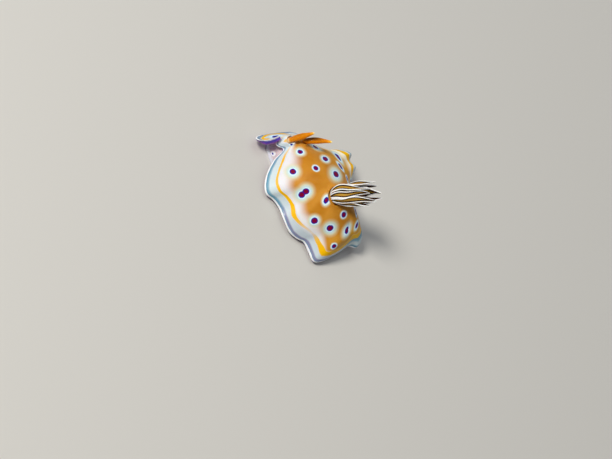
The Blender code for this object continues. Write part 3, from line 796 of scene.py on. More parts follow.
@dataclass(frozen=True)
class MantleFinish(WetSkin):
    """The upper skin of the back and mantle: ochre with haloed spots, in a pale banded margin.

    Its lines drift over 2.2 mm, the ochre is patchy over 5 mm and the outlines of the spots ripple
    over 1 mm. Flecks of 0.5 mm lie on the sheaths of the feelers. The skin's own granules, of about
    0.05 mm, are too fine to show in the render and are drawn at 0.16 mm.
    """

    name: str = "wet_mantle_skin"
    marks: tuple[str, ...] = (
        "band_mm", "teal", "yolk", "ochre", "gold", "gold_strength", "spot_mm", "halo", "sheath",
    )
    patterns: tuple[tuple[str, float, float], ...] = (
        ("drift", 2.2, 3.0), ("patches", 5.0, 2.0), ("ripple", 1.0, 2.0), ("flecks", 0.5, 1.0),
        ("grain", 0.16, 2.0),
    )
    band: str = "#7C94B0"
    dusk: str = "#8A86A8"
    rim: str = "#CAD6DE"
    teal: str = "#4A8CA8"
    haze: str = "#84B2C6"
    aqua: str = "#D0DFE3"
    pale: str = "#E8E7EC"
    straw: str = "#FFF8DC"
    yolk: str = "#D69C26"
    cream: str = "#DEDAB4"
    mist: str = "#C8E2E2"
    ochre: str = "#D08F30"
    amber: str = "#B8740E"
    gold: str = "#F6BC00"
    ring: str = "#D6F0FF"
    core: str = "#7E0030"

    def colour(self, on: Palette) -> bpy.types.NodeSocket:
        """The margin's bands, the back inside them, the golden line, halos and spots in turn.

        Args:
            on: The palette of this material.

        Returns:
            The output that carries the colour.
        """
        read = on.read
        band = on.wandering("band_mm", "drift", 0.4)
        gold = on.wandering("gold", "drift", 0.9)
        spot = on.wandering("spot_mm", "ripple", 0.34)
        grey, blue = [
            on.banded(
                band, self.band_span,
                (
                    (0.0, self.edge), (0.008, self.edge), (0.024, outer), (0.1, inner), (0.155, rim),
                    (0.36, rim), (0.52, self.pale),
                ),
            )
            for outer, inner, rim in (
                (self.band, self.dusk, self.rim), (self.teal, self.haze, self.aqua),
            )
        ]
        patchy = add_node(
            on.tree, "ShaderNodeValToRGB", {"Fac": read["patches"]},
            stops=((0.35, self.ochre), (0.75, self.amber)),
        )
        back = on.layered(patchy.outputs["Color"], [Layer(read["yolk"], self.yolk)])
        layers = (
            Layer(read["teal"], blue),
            Layer(read["yolk"], self.straw),
            Layer(read["ochre"], back),
            Layer(gold, self.gold, (1.15, 0.75), read["gold_strength"]),
            Layer(read["halo"], self.cream, (1.15, 0.2)),
            Layer(read["halo"], self.mist, (0.7, 0.15)),
            Layer(read["flecks"], self.ring, (0.5, 0.58), read["sheath"]),
            Layer(spot, self.ring, (0.58, 0.24)),
            Layer(spot, self.violet, (0.12, 0.0)),
            Layer(spot, self.core, (-0.13, -0.3)),
        )
        return on.layered(grey, layers)


@dataclass(frozen=True)
class UndersideFinish(WetSkin):
    """The mantle's lower face: thin and violet, paler towards the body. Its bands drift over 1.6 mm."""

    name: str = "wet_mantle_underside"
    marks: tuple[str, ...] = ("band_mm",)
    patterns: tuple[tuple[str, float, float], ...] = (("drift", 1.6, 2.0),)
    deep: str = "#5544B4"
    magenta: str = "#B050B4"
    lilac: str = "#CDB4D6"

    def colour(self, on: Palette) -> bpy.types.NodeSocket:
        """Bands that follow the distance from the mantle's edge.

        Args:
            on: The palette of this material.

        Returns:
            The output that carries the colour.
        """
        stops = (
            (0.0, self.edge), (0.016, self.edge), (0.04, self.deep), (0.08, self.deep),
            (0.16, self.magenta), (0.5, self.lilac),
        )
        return on.banded(on.wandering("band_mm", "drift", 0.5), self.band_span, stops)


@dataclass(frozen=True)
class FootFinish(WetSkin):
    """The foot, body wall, head and papilla: pale skin that is pinkish in clouds of 1.8 mm."""

    name: str = "wet_foot_skin"
    marks: tuple[str, ...] = ("band_mm", "spot_mm")
    patterns: tuple[tuple[str, float, float], ...] = (("clouds", 1.8, 3.0),)
    flesh: str = "#E2D6D4"
    blush: str = "#CBB0B8"
    line: str = "#D6D8E2"

    def colour(self, on: Palette) -> bpy.types.NodeSocket:
        """Flesh with a pale blue line at the sole's edge and a few ringed spots.

        Args:
            on: The palette of this material.

        Returns:
            The output that carries the colour.
        """
        flesh = add_node(
            on.tree, "ShaderNodeValToRGB", {"Fac": on.read["clouds"]},
            stops=((0.35, self.flesh), (0.7, self.blush)),
        )
        layers = (
            Layer(on.wandering("band_mm", "clouds", 0.3), self.line, (0.9, 0.4)),
            Layer(on.read["spot_mm"], self.edge, (0.5, 0.3)),
            Layer(on.read["spot_mm"], self.violet, (0.12, -0.05)),
        )
        return on.layered(flesh.outputs["Color"], layers)


@dataclass(frozen=True)
class FeelerFinish(WetSkin):
    """The rhinophores: thin leaves of orange skin, painted shade in the clefts, pale at the tip."""

    name: str = "wet_feeler_skin"
    marks: tuple[str, ...] = ("along", "cleft", "shade")
    stalk: str = "#F0D2A0"
    orange: str = "#E48A00"
    # Colour of the painted shade in the clefts between the leaves
    cleft: str = "#A34A00"
    # Colour of the painted shade on the side of the club that faces forward
    shadow: str = "#4A2804"
    yellow: str = "#FFB81E"
    tip: str = "#FFF0B8"

    def colour(self, on: Palette) -> bpy.types.NodeSocket:
        """Stalk, club and tip by the way along, painted shade in clefts and on the forward side.

        Args:
            on: The palette of this material.

        Returns:
            The output that carries the colour.
        """
        ramp = add_node(
            on.tree, "ShaderNodeValToRGB", {"Fac": on.read["along"]},
            stops=(
                (0.0, self.stalk), (0.06, self.stalk), (0.12, self.orange), (0.84, self.orange),
                (0.94, self.yellow), (0.99, self.tip),
            ),
        )
        layers = (
            # Painted shade in the clefts, then on the side that faces forward
            Layer(on.read["cleft"], self.cleft, (0.35, 1.6)),
            Layer(on.read["shade"], self.shadow),
        )
        return on.layered(ramp.outputs["Color"], layers)


@dataclass(frozen=True)
class GillFinish(WetSkin):
    """The gill plumes: golden brown flesh with opaque white ridges, each edged by a dark line."""

    name: str = "wet_gill_tissue"
    marks: tuple[str, ...] = ("ridge_mm", "cleft")
    band_span: float = 1.0
    white: str = "#FFFFFF"
    gilt: str = "#B08630"
    # Dark line beside each ridge, and also the painted shade in the gaps between leaflets
    brown: str = "#2F1804"

    def colour(self, on: Palette) -> bpy.types.NodeSocket:
        """Bands that follow the distance from the nearest ridge, with painted shade in leaflet gaps.

        Args:
            on: The palette of this material.

        Returns:
            The output that carries the colour.
        """
        stops = (
            (0.0, self.white), (0.04, self.white), (0.08, self.brown), (0.4, self.brown),
            (0.52, self.gilt),
        )
        bands = on.banded(on.read["ridge_mm"], self.band_span, stops)
        # Painted shade in the gaps between leaflets
        return on.layered(bands, [Layer(on.read["cleft"], self.brown, (0.3, 1.3))])


@dataclass(frozen=True)
class FloorFinish:
    """Matt painted board, which gives a soft pale ground with no gloss."""

    paint: str = "#DCDAD4"
    roughness: float = 0.9

    def build(self) -> bpy.types.Material:
        """Make the material.

        Returns:
            The new material.
        """
        material, _, shader = start_material("matt_painted_board")
        shader.inputs["Base Color"].default_value = linear(self.paint)
        shader.inputs["Roughness"].default_value = self.roughness
        return material


# The sheaths of the two feelers, then the pocket of the gills
COLLARS = (
    Collar((9.2, 6.4), 1.2, 0.75, 0.28, 0.8),
    Collar((8.6, 2.6), 1.2, 0.75, 0.28, 0.8),
    Collar((-8.4, -0.2), 2.75, 0.25, 0.45, 0.9),
)
SPOTS = (
    Spot((300.2, 151.2), 0.66, 1.4),
    Spot((315.9, 146.5), 0.84, 1.9),
    Spot((325.0, 158.6), 0.76, 1.2, end=(325.7, 157.9)),
    Spot((336.6, 154.5), 0.50, 1.2, end=(339.8, 158.0)),
    Spot((339.8, 164.5), 0.44, 0.7, end=(342.2, 167.6)),
    Spot((316.5, 167.8), 0.70, 0.7),
    Spot((293.1, 171.3), 0.84, 2.0),
    Spot((335.8, 174.0), 0.90, 2.2, end=(336.7, 173.1)),
    Spot((347.6, 177.8), 0.42, 0.5, end=(347.9, 179.2)),
    Spot((306.2, 191.6), 0.86, 2.0),
    Spot((301.3, 195.1), 0.86, 2.0),
    Spot((326.7, 199.7), 0.62, 1.0, end=(326.5, 201.5)),
    Spot((344.4, 215.0), 0.74, 0.8),
    Spot((355.7, 209.2), 0.44, 0.5, end=(356.7, 212.6)),
    Spot((314.8, 221.2), 0.88, 1.4),
    Spot((330.6, 228.5), 0.92, 2.0),
    Spot((347.7, 229.4), 0.68, 1.5, end=(347.0, 231.8)),
    Spot((357.7, 224.4), 0.50, 0.9, end=(357.1, 226.6)),
    Spot((334.4, 246.9), 0.62, 0.6),
    Spot((291.4, 144.8), 0.29, 0.4),
    Spot((274.6, 136.6), 0.27, 0.3, end=(279.4, 135.2)),
    Spot((-13.5, -12.6), 0.85, 1.4, seen=False),
    Spot((-8.6, -11.4), 0.80, 1.4, seen=False),
    Spot((-3.6, -12.0), 0.85, 1.5, seen=False),
    Spot((-5.6, -8.4), 0.78, 1.2, seen=False),
)
FOOT_SPOTS = (
    Spot((6.6, 9.2), 0.44), Spot((2.6, 8.8), 0.36), Spot((1.6, -8.0), 0.3), Spot((-6.0, -9.0), 0.34),
)


def unmarked(points: np.ndarray) -> dict[str, np.ndarray]:
    """The marks of foot skin with no line and no spot near."""
    return {mark: np.full(len(points), FAR) for mark in ("band_mm", "spot_mm")}


@dataclass(frozen=True)
class Mouth:
    """The slit of the mouth and the lips over and under it, in mm."""

    slit_height: float = 0.14
    slit_width: float = 0.75
    slit_depth: float = 0.5
    lip_place: float = 0.32
    lip_height: float = 0.2
    lip_width: float = 0.95
    lip_fullness: float = 0.18
    face: tuple[float, float] = (0.5, 1.2)

    def relief(self, points: np.ndarray) -> np.ndarray:
        """How far forward the mouth moves the head.

        Args:
            points: Points of the head in mm, from its middle.

        Returns:
            The way forward of each point in mm.
        """
        ahead, across, up = points[..., 0], points[..., 1], points[..., 2]
        slit = np.exp(-((up / self.slit_height) ** 2) - (across / self.slit_width) ** 4)
        lip = (np.abs(up) - self.lip_place) / self.lip_height
        lips = np.exp(-(lip**2) - (across / self.lip_width) ** 4)
        return smooth(*self.face, ahead) * (self.lip_fullness * lips - self.slit_depth * slit)


@dataclass(frozen=True)
class Head:
    """The small head under the front of the mantle, with a short feeler on each side of the mouth.

    The places on a feeler are its root from the middle of the head, and its bend and tip from the
    root, for the left one.
    """

    centre: Point = (9.3, 4.4, 2.6)
    radii: Point = (1.6, 2.4, 1.15)
    rows: int = 48
    columns: int = 72
    pole: float = 0.02
    mouth: Mouth = Mouth()
    root: Point = (0.6, 1.4, 0.0)
    bend: Point = (1.1, 0.1, -0.05)
    tip: Point = (1.95, 0.45, -0.75)
    radius: float = 0.52
    taper: float = 0.25
    tip_power: float = 3.2
    blunt: float = 0.004
    feeler_rows: int = 28
    feeler_columns: int = 24

    def dome(self) -> Mesh:
        """The head itself, with its lips and the slit of the mouth.

        Returns:
            Its closed surface.
        """
        lean = np.linspace(self.pole, math.pi - self.pole, self.rows)[:, None]
        turn = (np.arange(self.columns) * 2 * math.pi / self.columns)[None]
        way = np.stack(
            [np.cos(turn) * np.sin(lean), np.sin(turn) * np.sin(lean), -np.cos(lean) + 0 * turn], axis=-1
        )
        points = way * self.radii
        points[..., 0] += self.mouth.relief(points)
        points = (points + self.centre).reshape(-1, 3)
        return Mesh(points, tube(self.rows, self.columns), Zone.FOOT, marks=unmarked(points))

    def tentacle(self, side: int) -> Mesh:
        """One of the two short feelers beside the mouth.

        Args:
            side: 1 for the left one and -1 for the right one.

        Returns:
            Its closed surface.
        """
        root, bend, tip = [np.array(place) * (1, side, 1) for place in (self.root, self.bend, self.tip)]
        root = np.array(self.centre) + root
        share = np.linspace(0.0, 1.0, self.feeler_rows)
        line = bezier(root, root + bend, root + tip, share)
        profile = np.sqrt(np.clip(1 - share**self.tip_power, self.blunt, 1))
        profile = self.radius * profile * (1 - self.taper * share)
        radii = np.repeat(profile[:, None], self.feeler_columns, axis=1)
        points = lathe(line, frames_along(line, np.array([0.0, 1.0, 0.0])), radii)
        faces = tube(self.feeler_rows, self.feeler_columns)
        return Mesh(points, faces, Zone.FOOT, marks=unmarked(points))


@dataclass
class Skin:
    """The one skin of back, mantle edge, underside, body wall, foot and head.

    Pairs of values are where something begins and where it is full. The smallest spots have no red
    core, and under a rolled edge the mantle is thinner.
    """

    loft: Loft
    view: PhotoView
    columns: int = 960
    upper_rows: int = 104
    lower_rows: int = 34
    inner: float = 0.02
    edge_thickness: float = 0.32
    root_thickness: float = 0.95
    thickens: tuple[float, float] = (1.0, 0.8)
    least_flat: float = 0.62
    rolled_share: float = 0.7
    rim_share: float = 0.45
    row_power: float = 1.3
    belly: float = 3.0
    belly_ribs: tuple[float, float] = (0.64, 0.54)
    belly_front: tuple[float, float] = (7.7, 7.0)
    ridge_ends: tuple[float, float] = (31, 6.5)
    rounding: float = 0.9
    pool_band: float = 0.3
    pool_slope: float = 0.4
    pale_share: float = 0.35
    ochre_fade: float = 1.2
    ochre_ends: tuple[float, float] = (6.7, 7.5)
    fleck_front: tuple[float, float] = (8.4, 9.8)
    small_spot: float = 0.3
    small_core: float = -0.06
    search_pixels: float = 0.7
    foot_columns: int = 420
    foot_spot_height: float = 0.9

    def __post_init__(self) -> None:
        """Lay out the upper face, whose points the other pieces are set on."""
        self.places = np.arange(self.columns) * self.loft.length / self.columns
        ribs = np.linspace(self.inner, 1.0, self.upper_rows)
        self.upper = self._rows(ribs)
        self.raised = self.upper.copy()
        for collar in COLLARS:
            self.raised[..., 2] += collar.relief(self.upper)
        self.tree = KDTree(self.columns * self.upper_rows)
        for index, (x, y, z) in enumerate(self.upper.reshape(-1, 3).tolist()):
            self.tree.insert((x, y, 0.0), index)
        self.tree.balance()

    def _rows(self, ribs: np.ndarray) -> np.ndarray:
        """Points of the upper face round the edge, one row for each place along the ribs."""
        return np.stack([self.loft.surface(self.places, np.full(self.columns, rib)) for rib in ribs])

    def height(self, x: float, y: float) -> float:
        """Height of the back over a place on the floor.

        Args:
            x: How far forward the place is, in mm.
            y: How far to the left it is, in mm.

        Returns:
            The height in mm, from the four nearest points of the skin.
        """
        flat = self.upper.reshape(-1, 3)
        near = self.tree.find_n((x, y, 0.0), 4)
        weights = np.array([1.0 / (distance + CLOSE) for _, _, distance in near])
        heights = np.array([flat[index][2] for _, index, _ in near])
        return float((weights * heights).sum() / weights.sum())

    def round_edge(self, rows: Sequence) -> np.ndarray:
        """What a table of the margin says at each place round the edge, with its corners rounded.

        Args:
            rows: The table, whose first column is the number of the edge's point.

        Returns:
            One row for each of the other columns.
        """
        table = np.asarray(rows)
        at = [self.loft.place_of(index) for index in table[:, 0]]
        lines = [np.interp(self.places, at, row, period=self.loft.length) for row in table.T[1:]]
        return softened(lines, self.loft.length, self.rounding)

    def _lower_face(self) -> np.ndarray:
        """The mantle's lower face, which hangs under the upper one by the mantle's thickness.

        Returns:
            Its points in rows from the edge inwards. Under the body they level out at the belly.
        """
        ribs = 1.0 - (1.0 - self.inner) * np.linspace(0.0, 1.0, self.lower_rows) ** self.row_power
        lower = self._rows(ribs)
        across = np.gradient(lower, axis=0)
        along = np.roll(lower, -1, 1) - np.roll(lower, 1, 1)
        square = np.cross(across, along)
        size = np.linalg.norm(square, axis=-1) + TINY
        flatness = np.clip(np.abs(square[..., 2]) / size, self.least_flat, 1.0)[..., None]
        square *= np.sign(np.median(square[..., 2])) / size[..., None]
        growth = self.root_thickness - self.edge_thickness
        thick = self.edge_thickness + growth * smooth(*self.thickens, ribs)
        rolled = self.loft.rolled(self.places)[None, :, None]
        drop = (1 - rolled) * np.array([0.0, 0.0, 1.0]) / flatness
        lower -= thick[:, None, None] * (drop + rolled * square * self.rolled_share)
        inside = smooth(*self.belly_ribs, ribs)[:, None] * smooth(*self.belly_front, lower[..., 0])
        lower[..., 2] = lower[..., 2] * (1 - inside) + self.belly * inside
        return lower

    def mantle(self) -> Mesh:
        """The mantle as a closed sheet: upper face, rounded edge and lower face.

        Returns:
            Its closed surface, with the zone of each face and all its marks.
        """
        upper, lower = self.raised, self._lower_face()
        outward = upper[-1] - upper[-2]
        outward /= np.linalg.norm(outward, axis=1)[:, None]
        rim = (upper[-1] + lower[0]) / 2 + outward * self.edge_thickness * self.rim_share
        rows = np.concatenate([upper, rim[None], lower])
        faces = [face[::-1] for face in grid(len(rows), self.columns)]
        top = self._zip(0)
        bottom = [face[::-1] for face in self._zip((len(rows) - 1) * self.columns)]
        over = self.upper_rows * self.columns
        zones = np.repeat(
            [Zone.BACK.value, Zone.UNDERSIDE.value, Zone.BACK.value, Zone.UNDERSIDE.value],
            [over, len(faces) - over, len(top), len(bottom)],
        )
        marks = self._mantle_marks(rows)
        return Mesh(rows.reshape(-1, 3), faces + top + bottom, zones=zones, marks=marks)

    def _zip(self, first: int) -> list[tuple[int, int, int]]:
        """Close the slit that runs along the ridge between the inner ends of the ribs.

        Args:
            first: Number of the first point of the row that runs round the slit.

        Returns:
            Three point numbers for each face, from the tail to the front lobe.
        """
        stations = self.loft.station(self.places)
        tail, lobe = [
            int(np.argmin(np.abs(self.places - self.loft.place_of(end)))) for end in self.ridge_ends
        ]
        left = [k % self.columns for k in range(tail, lobe, -1)]
        right = [k % self.columns for k in range(tail + 1, lobe + self.columns + 1)]
        faces, i, j = [], 0, 0
        while i < len(left) - 1 or j < len(right) - 1:
            go_left = j == len(right) - 1 or (
                i < len(left) - 1 and stations[left[i + 1]] <= stations[right[j + 1]]
            )
            if go_left:
                faces.append((first + left[i + 1], first + left[i], first + right[j]))
                i += 1
            else:
                faces.append((first + right[j], first + right[j + 1], first + left[i]))
                j += 1
        return faces

    def _mantle_marks(self, rows: np.ndarray) -> dict[str, np.ndarray]:
        """What the finishes read at each point of the mantle.

        Args:
            rows: Points of the upper face, the rim and the lower face, row by row.

        Returns:
            The values of each mark, point after point.
        """
        scale, line, strength, half_width, pale = self.round_edge(MARGIN_MARKS)
        teal, yolk, pool = self.round_edge(MARGIN_TINTS)
        over = np.linalg.norm(np.diff(self.upper, axis=0), axis=-1)
        under = np.linalg.norm(np.diff(rows[self.upper_rows + 1 :], axis=0), axis=-1)
        inward = np.cumsum(over[::-1], axis=0)[::-1]
        at_edge = np.zeros((3, self.columns))
        from_edge = np.concatenate([inward, at_edge, np.cumsum(under, axis=0)])
        inside = from_edge - line
        band = from_edge / scale
        beside = self.pool_band - self.pool_slope * (inside + half_width)
        beside = np.clip(beside, self.pool_band, FAR)
        band -= pool * np.clip(band - beside, 0.0, FAR)
        fade = (1 - self.pale_share) * pale + self.ochre_fade
        ochre = smooth(0.0, 1.0, (inside - self.pale_share * pale) / fade)
        ochre = ochre * (1 - smooth(*self.ochre_ends, self.loft.station(self.places)))
        points = rows.reshape(-1, 3)
        spot, halo = self._spot_marks(points)
        sheath = np.maximum(*[collar.crest(points) for collar in COLLARS[:2]])
        return {
            "band_mm": band.ravel(),
            "gold": (np.abs(inside) / half_width).ravel(),
            "gold_strength": np.broadcast_to(strength, from_edge.shape).ravel(),
            "ochre": ochre.ravel(),
            "teal": np.broadcast_to(teal, from_edge.shape).ravel(),
            "yolk": (yolk * smooth(-0.4, 0.8, inside) * smooth(10.0, 2.0, inside)).ravel(),
            "spot_mm": spot,
            "halo": halo,
            "sheath": sheath * smooth(*self.fleck_front, points[:, 0]),
        }

    def _spot_marks(self, points: np.ndarray) -> tuple[np.ndarray, np.ndarray]:
        """How far each point is from the spots.

        Args:
            points: Points of the mantle in mm.

        Returns:
            The distance from the nearest spot's border in mm, less than 0 inside it, and the
            distance in widths of a spot's halo.
        """
        flat = self.raised.reshape(-1, 3)
        seen = self.view.project(flat)
        spot, halo = np.full(len(points), FAR), np.full(len(points), FAR)
        for mark in SPOTS:
            start = self._on_skin(mark.place, mark.seen, flat, seen)
            end = self._on_skin(mark.end or mark.place, mark.seen, flat, seen)
            reach = np.linalg.norm(end - start)
            away = points - (start + end) / 2
            along = away @ (end - start) / max(reach, TINY)
            shorter = along * mark.radius / (mark.radius + reach / 2)
            squared = (away**2).sum(axis=1) - along**2 + shorter**2
            distance = np.sqrt(np.maximum(squared, 0.0)) - mark.radius
            halo = np.minimum(halo, distance / mark.halo)
            if mark.radius < self.small_spot:
                distance = np.maximum(distance, self.small_core)
            spot = np.minimum(spot, distance)
        return spot, halo

    def _on_skin(
        self, place: tuple[float, float], by_pixel: bool, flat: np.ndarray, seen: np.ndarray
    ) -> np.ndarray:
        """Where a place lies on the skin.

        Args:
            place: A pixel of the photograph, or how far forward and left in mm.
            by_pixel: Whether it is a pixel.
            flat: The points of the upper face, in mm.
            seen: Pixel and distance from the camera of each of them.

        Returns:
            The point in mm, for a pixel the one nearest to the camera there.
        """
        if not by_pixel:
            return np.array([*place, self.height(*place)])
        away = np.hypot(seen[:, 0] - place[0], seen[:, 1] - place[1])
        near = np.flatnonzero(away < max(self.search_pixels, away.min() + CLOSE))
        return flat[near[np.argmin(seen[near, 2])]]

    def body(self) -> Mesh:
        """The foot with its thin edge, and the body wall that rises from it into the back.

        Returns:
            Its closed surface.
        """
        count = self.foot_columns
        at = np.arange(count) * len(FOOT_EDGE) / count
        foot, wall = closed_curve(FOOT_EDGE, at), closed_curve(BODY_WALL, at)
        forward, left = BODY_MIDLINE
        middle = np.clip(wall[:, 0], *forward)
        middle = np.stack([middle, np.interp(middle, forward, left)], axis=1)
        rings = []
        for share, height in WALL_RINGS:
            rings.append(np.column_stack([foot + (wall - foot) * share, np.full(count, height)]))
        for share, depth in INNER_RINGS:
            ring = wall + (middle - wall) * share
            heights = [self.height(x, y) - depth for x, y in ring.tolist()]
            rings.append(np.column_stack([ring, heights]))
        points = np.concatenate(rings)
        from_edge = np.linalg.norm(points[:, :2] - np.tile(foot, (len(rings), 1)), axis=1)
        spot = np.full(len(points), FAR)
        for mark in FOOT_SPOTS:
            centre = np.array([*mark.place, self.foot_spot_height])
            spot = np.minimum(spot, np.linalg.norm(points - centre, axis=1) - mark.radius)
        marks = {"band_mm": from_edge, "spot_mm": spot}
        return Mesh(points, tube(len(rings), count), Zone.FOOT, marks=marks)

    def build(self) -> bpy.types.Object:
        """Fuse the sheets into one closed skin, mark its points and dress it.

        Returns:
            The finished piece.
        """
        head = Head()
        parts = [self.mantle(), self.body(), head.dome(), *map(head.tentacle, (1, -1))]
        finishes = [MantleFinish().build(), UndersideFinish().build(), FootFinish().build()]
        pieces = []
        for part in parts:
            if part.zones is None:
                part.zones = np.full(len(part.faces), part.zone.value)
            pieces.append(part.build("part_of_skin", finishes))
        skin = pieces[0]
        skin.name = "slug_skin"
        fuse(skin, pieces[1:])
        self._mark(skin, parts)
        skin.data.name = "slug_skin"
        return skin

    def _mark(self, skin: bpy.types.Object, parts: list[Mesh]) -> None:
        """Give each point of the fused skin the marks of the nearest point that it came from.

        Args:
            skin: The fused skin.
            parts: The surfaces that it was fused from.
        """
        origin = np.concatenate([part.points for part in parts]) * MM
        tree = KDTree(len(origin))
        for index, point in enumerate(origin.tolist()):
            tree.insert(point, index)
        tree.balance()
        nearest = np.array([tree.find(vertex.co)[1] for vertex in skin.data.vertices])
        for name in parts[0].marks:
            values = [part.marks.get(name, np.full(len(part.points), FAR)) for part in parts]
            values = np.concatenate(values)[nearest].astype(np.float32)
            old = skin.data.attributes.get(name)
            if old:
                skin.data.attributes.remove(old)
            skin.data.attributes.new(name, "FLOAT", "POINT").data.foreach_set("value", values)


def fuse(base: bpy.types.Object, others: Sequence[bpy.types.Object]) -> None:
    """Join closed surfaces into the first one and remove the rest.

    Args:
        base: The surface that is kept.
        others: The surfaces that are joined to it.
    """
    group = bpy.data.collections.new("joined")
    for other in others:
        group.objects.link(other)
    change = base.modifiers.new("join", "BOOLEAN")
    change.operation = "UNION"
    change.solver = "MANIFOLD"
    change.operand_type = "COLLECTION"
    change.collection = group
    bpy.context.view_layer.update()
    graph = bpy.context.evaluated_depsgraph_get()
    result = bpy.data.meshes.new_from_object(base.evaluated_get(graph))
    base.modifiers.clear()
    base.data = result
    for other in others:
        bpy.data.objects.remove(other)
    bpy.data.collections.remove(group)
    result.shade_smooth()


# Outline of a feeler, as share of the way up and radius against its own, and how fast it comes to
# its point
FEELER_OUTLINE = (
    (0.0, 0.90), (0.16, 0.84), (0.26, 1.0), (0.42, 1.10), (0.62, 1.0), (0.80, 0.76), (0.93, 0.46),
    (0.985, 0.24), (1.0, 0.03),
)
FEELER_POINT = ((0.0, 2.0), (0.97, 0.35), (1.0, 0.02))


@dataclass
class Rhinophore:
    """One of the two feelers on the head: a smooth stalk, then a club of slanting leaves.

    The leaves begin at the first share of the way up that leaf_span gives, and span the second.
    """

    side: str
    foot: tuple[float, float]
    way: Point
    # Strength of the painted shade on the side of the club that faces forward
    shade: float
    radius: float = 0.84
    leaves: int = 17
    slant: float = 0.9
    cleft_depth: float = 0.2
    sunk: float = 0.5
    leaf_span: tuple[float, float] = (0.22, 0.74)
    soft_rows: int = 15
    soft_spread: float = 6.0
    rows: int = 260
    columns: int = 72

    def _profile(self, share: np.ndarray) -> np.ndarray:
        """The feeler's outline with its corners rounded.

        Args:
            share: How far up the feeler each ring is, from 0 to 1.

        Returns:
            Radius of each ring against the feeler's own.
        """
        wide = np.interp(share, *zip(*FEELER_OUTLINE))
        soft = np.exp(-0.5 * (np.arange(-self.soft_rows, self.soft_rows + 1) / self.soft_spread) ** 2)
        padded = np.pad(wide, self.soft_rows, mode="edge")
        rounded = np.convolve(padded, soft / soft.sum(), mode="valid")
        return np.minimum(rounded, np.interp(share, *zip(*FEELER_POINT)))

    def _clefts(self, share: np.ndarray, front: np.ndarray) -> np.ndarray:
        """How deep the clefts between the leaves are.

        Args:
            share: How far up the feeler each ring is, from 0 to 1.
            front: How far round from the front each point of a ring is, from 0 to 1 at the rear.

        Returns:
            A depth from 0 to 1 for each ring and point. There are none on the stalk, at the tip and
            along the seams at the front and the rear.
        """
        start, span = self.leaf_span
        phase = self.leaves * (share[:, None] - start) / span + self.slant * front[None]
        club = window(share, (0.18, 0.24), (0.98, 0.94))[:, None]
        seam = window(front, (0.0, 0.09), (1.0, 0.94))[None]
        return gaps(phase) * club * seam

    def build(self, skin: Skin) -> bpy.types.Object:
        """Stand the feeler in its collar and dress it.

        Args:
            skin: The skin that it stands on.

        Returns:
            The finished piece.
        """
        base = np.array([*self.foot, skin.height(*self.foot)])
        way = np.asarray(self.way)
        length = np.linalg.norm(way)
        lean = way / length + (0, 0, 1)
        lean /= np.linalg.norm(lean)
        share = np.linspace(0.0, 1.0, self.rows)
        line = bezier(base - lean * self.sunk, base + lean * length * 0.5, base + way, share)
        angles = np.arange(self.columns) * 2 * math.pi / self.columns
        front = np.minimum(angles, 2 * math.pi - angles) / math.pi
        cleft = self._clefts(share, front)
        radii = self.radius * self._profile(share)[:, None] * (1 - self.cleft_depth * cleft)
        points = lathe(line, frames_along(line, np.array([1.0, 0.0, 0.0])), radii)
        faces = tube(self.rows, self.columns)
        # Mask of the painted shade: the side of the club that faces forward, away from its base and tip
        rear = smooth(0.66, 0.36, front)[None] * window(share, (0.1, 0.2), (0.85, 0.5))[:, None]
        marks = {
            "along": np.repeat(share, self.columns),
            "cleft": cleft.ravel(),
            "shade": (rear * self.shade).ravel(),
        }
        piece = Mesh(points, faces, marks=marks).build(
            f"rhinophore_{self.side}_skin", [FeelerFinish().build()]
        )
        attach(piece, "root")
        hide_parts(f"rhinophore_{self.side}")
        return piece


# Each gill plume's angle round the vent from straight ahead, its length, how far out it arches half
# way up and how far out it ends
PLUMES = (
    (23, 12.7, 0.6, 2.0), (56, 11.6, 1.6, 0.6), (90, 10.8, 0.9, 0.3), (124, 12.6, 1.5, 1.4),
    (157, 9.8, 1.0, 1.8), (-157, 9.8, 1.5, 0.6), (-124, 11.0, 0.5, 0.7), (-90, 11.0, 1.5, 0.6),
    (-56, 12.4, 0.5, -1.2), (-23, 11.2, 0.3, 0.8),
)
# Outline of the papilla as radius and height over the skin, up its side and down into its mouth
PAPILLA_OUTLINE = (
    (0.72, -0.9), (0.7, 0.2), (0.62, 1.0), (0.6, 1.3), (0.5, 1.42), (0.38, 1.36), (0.3, 0.9),
)


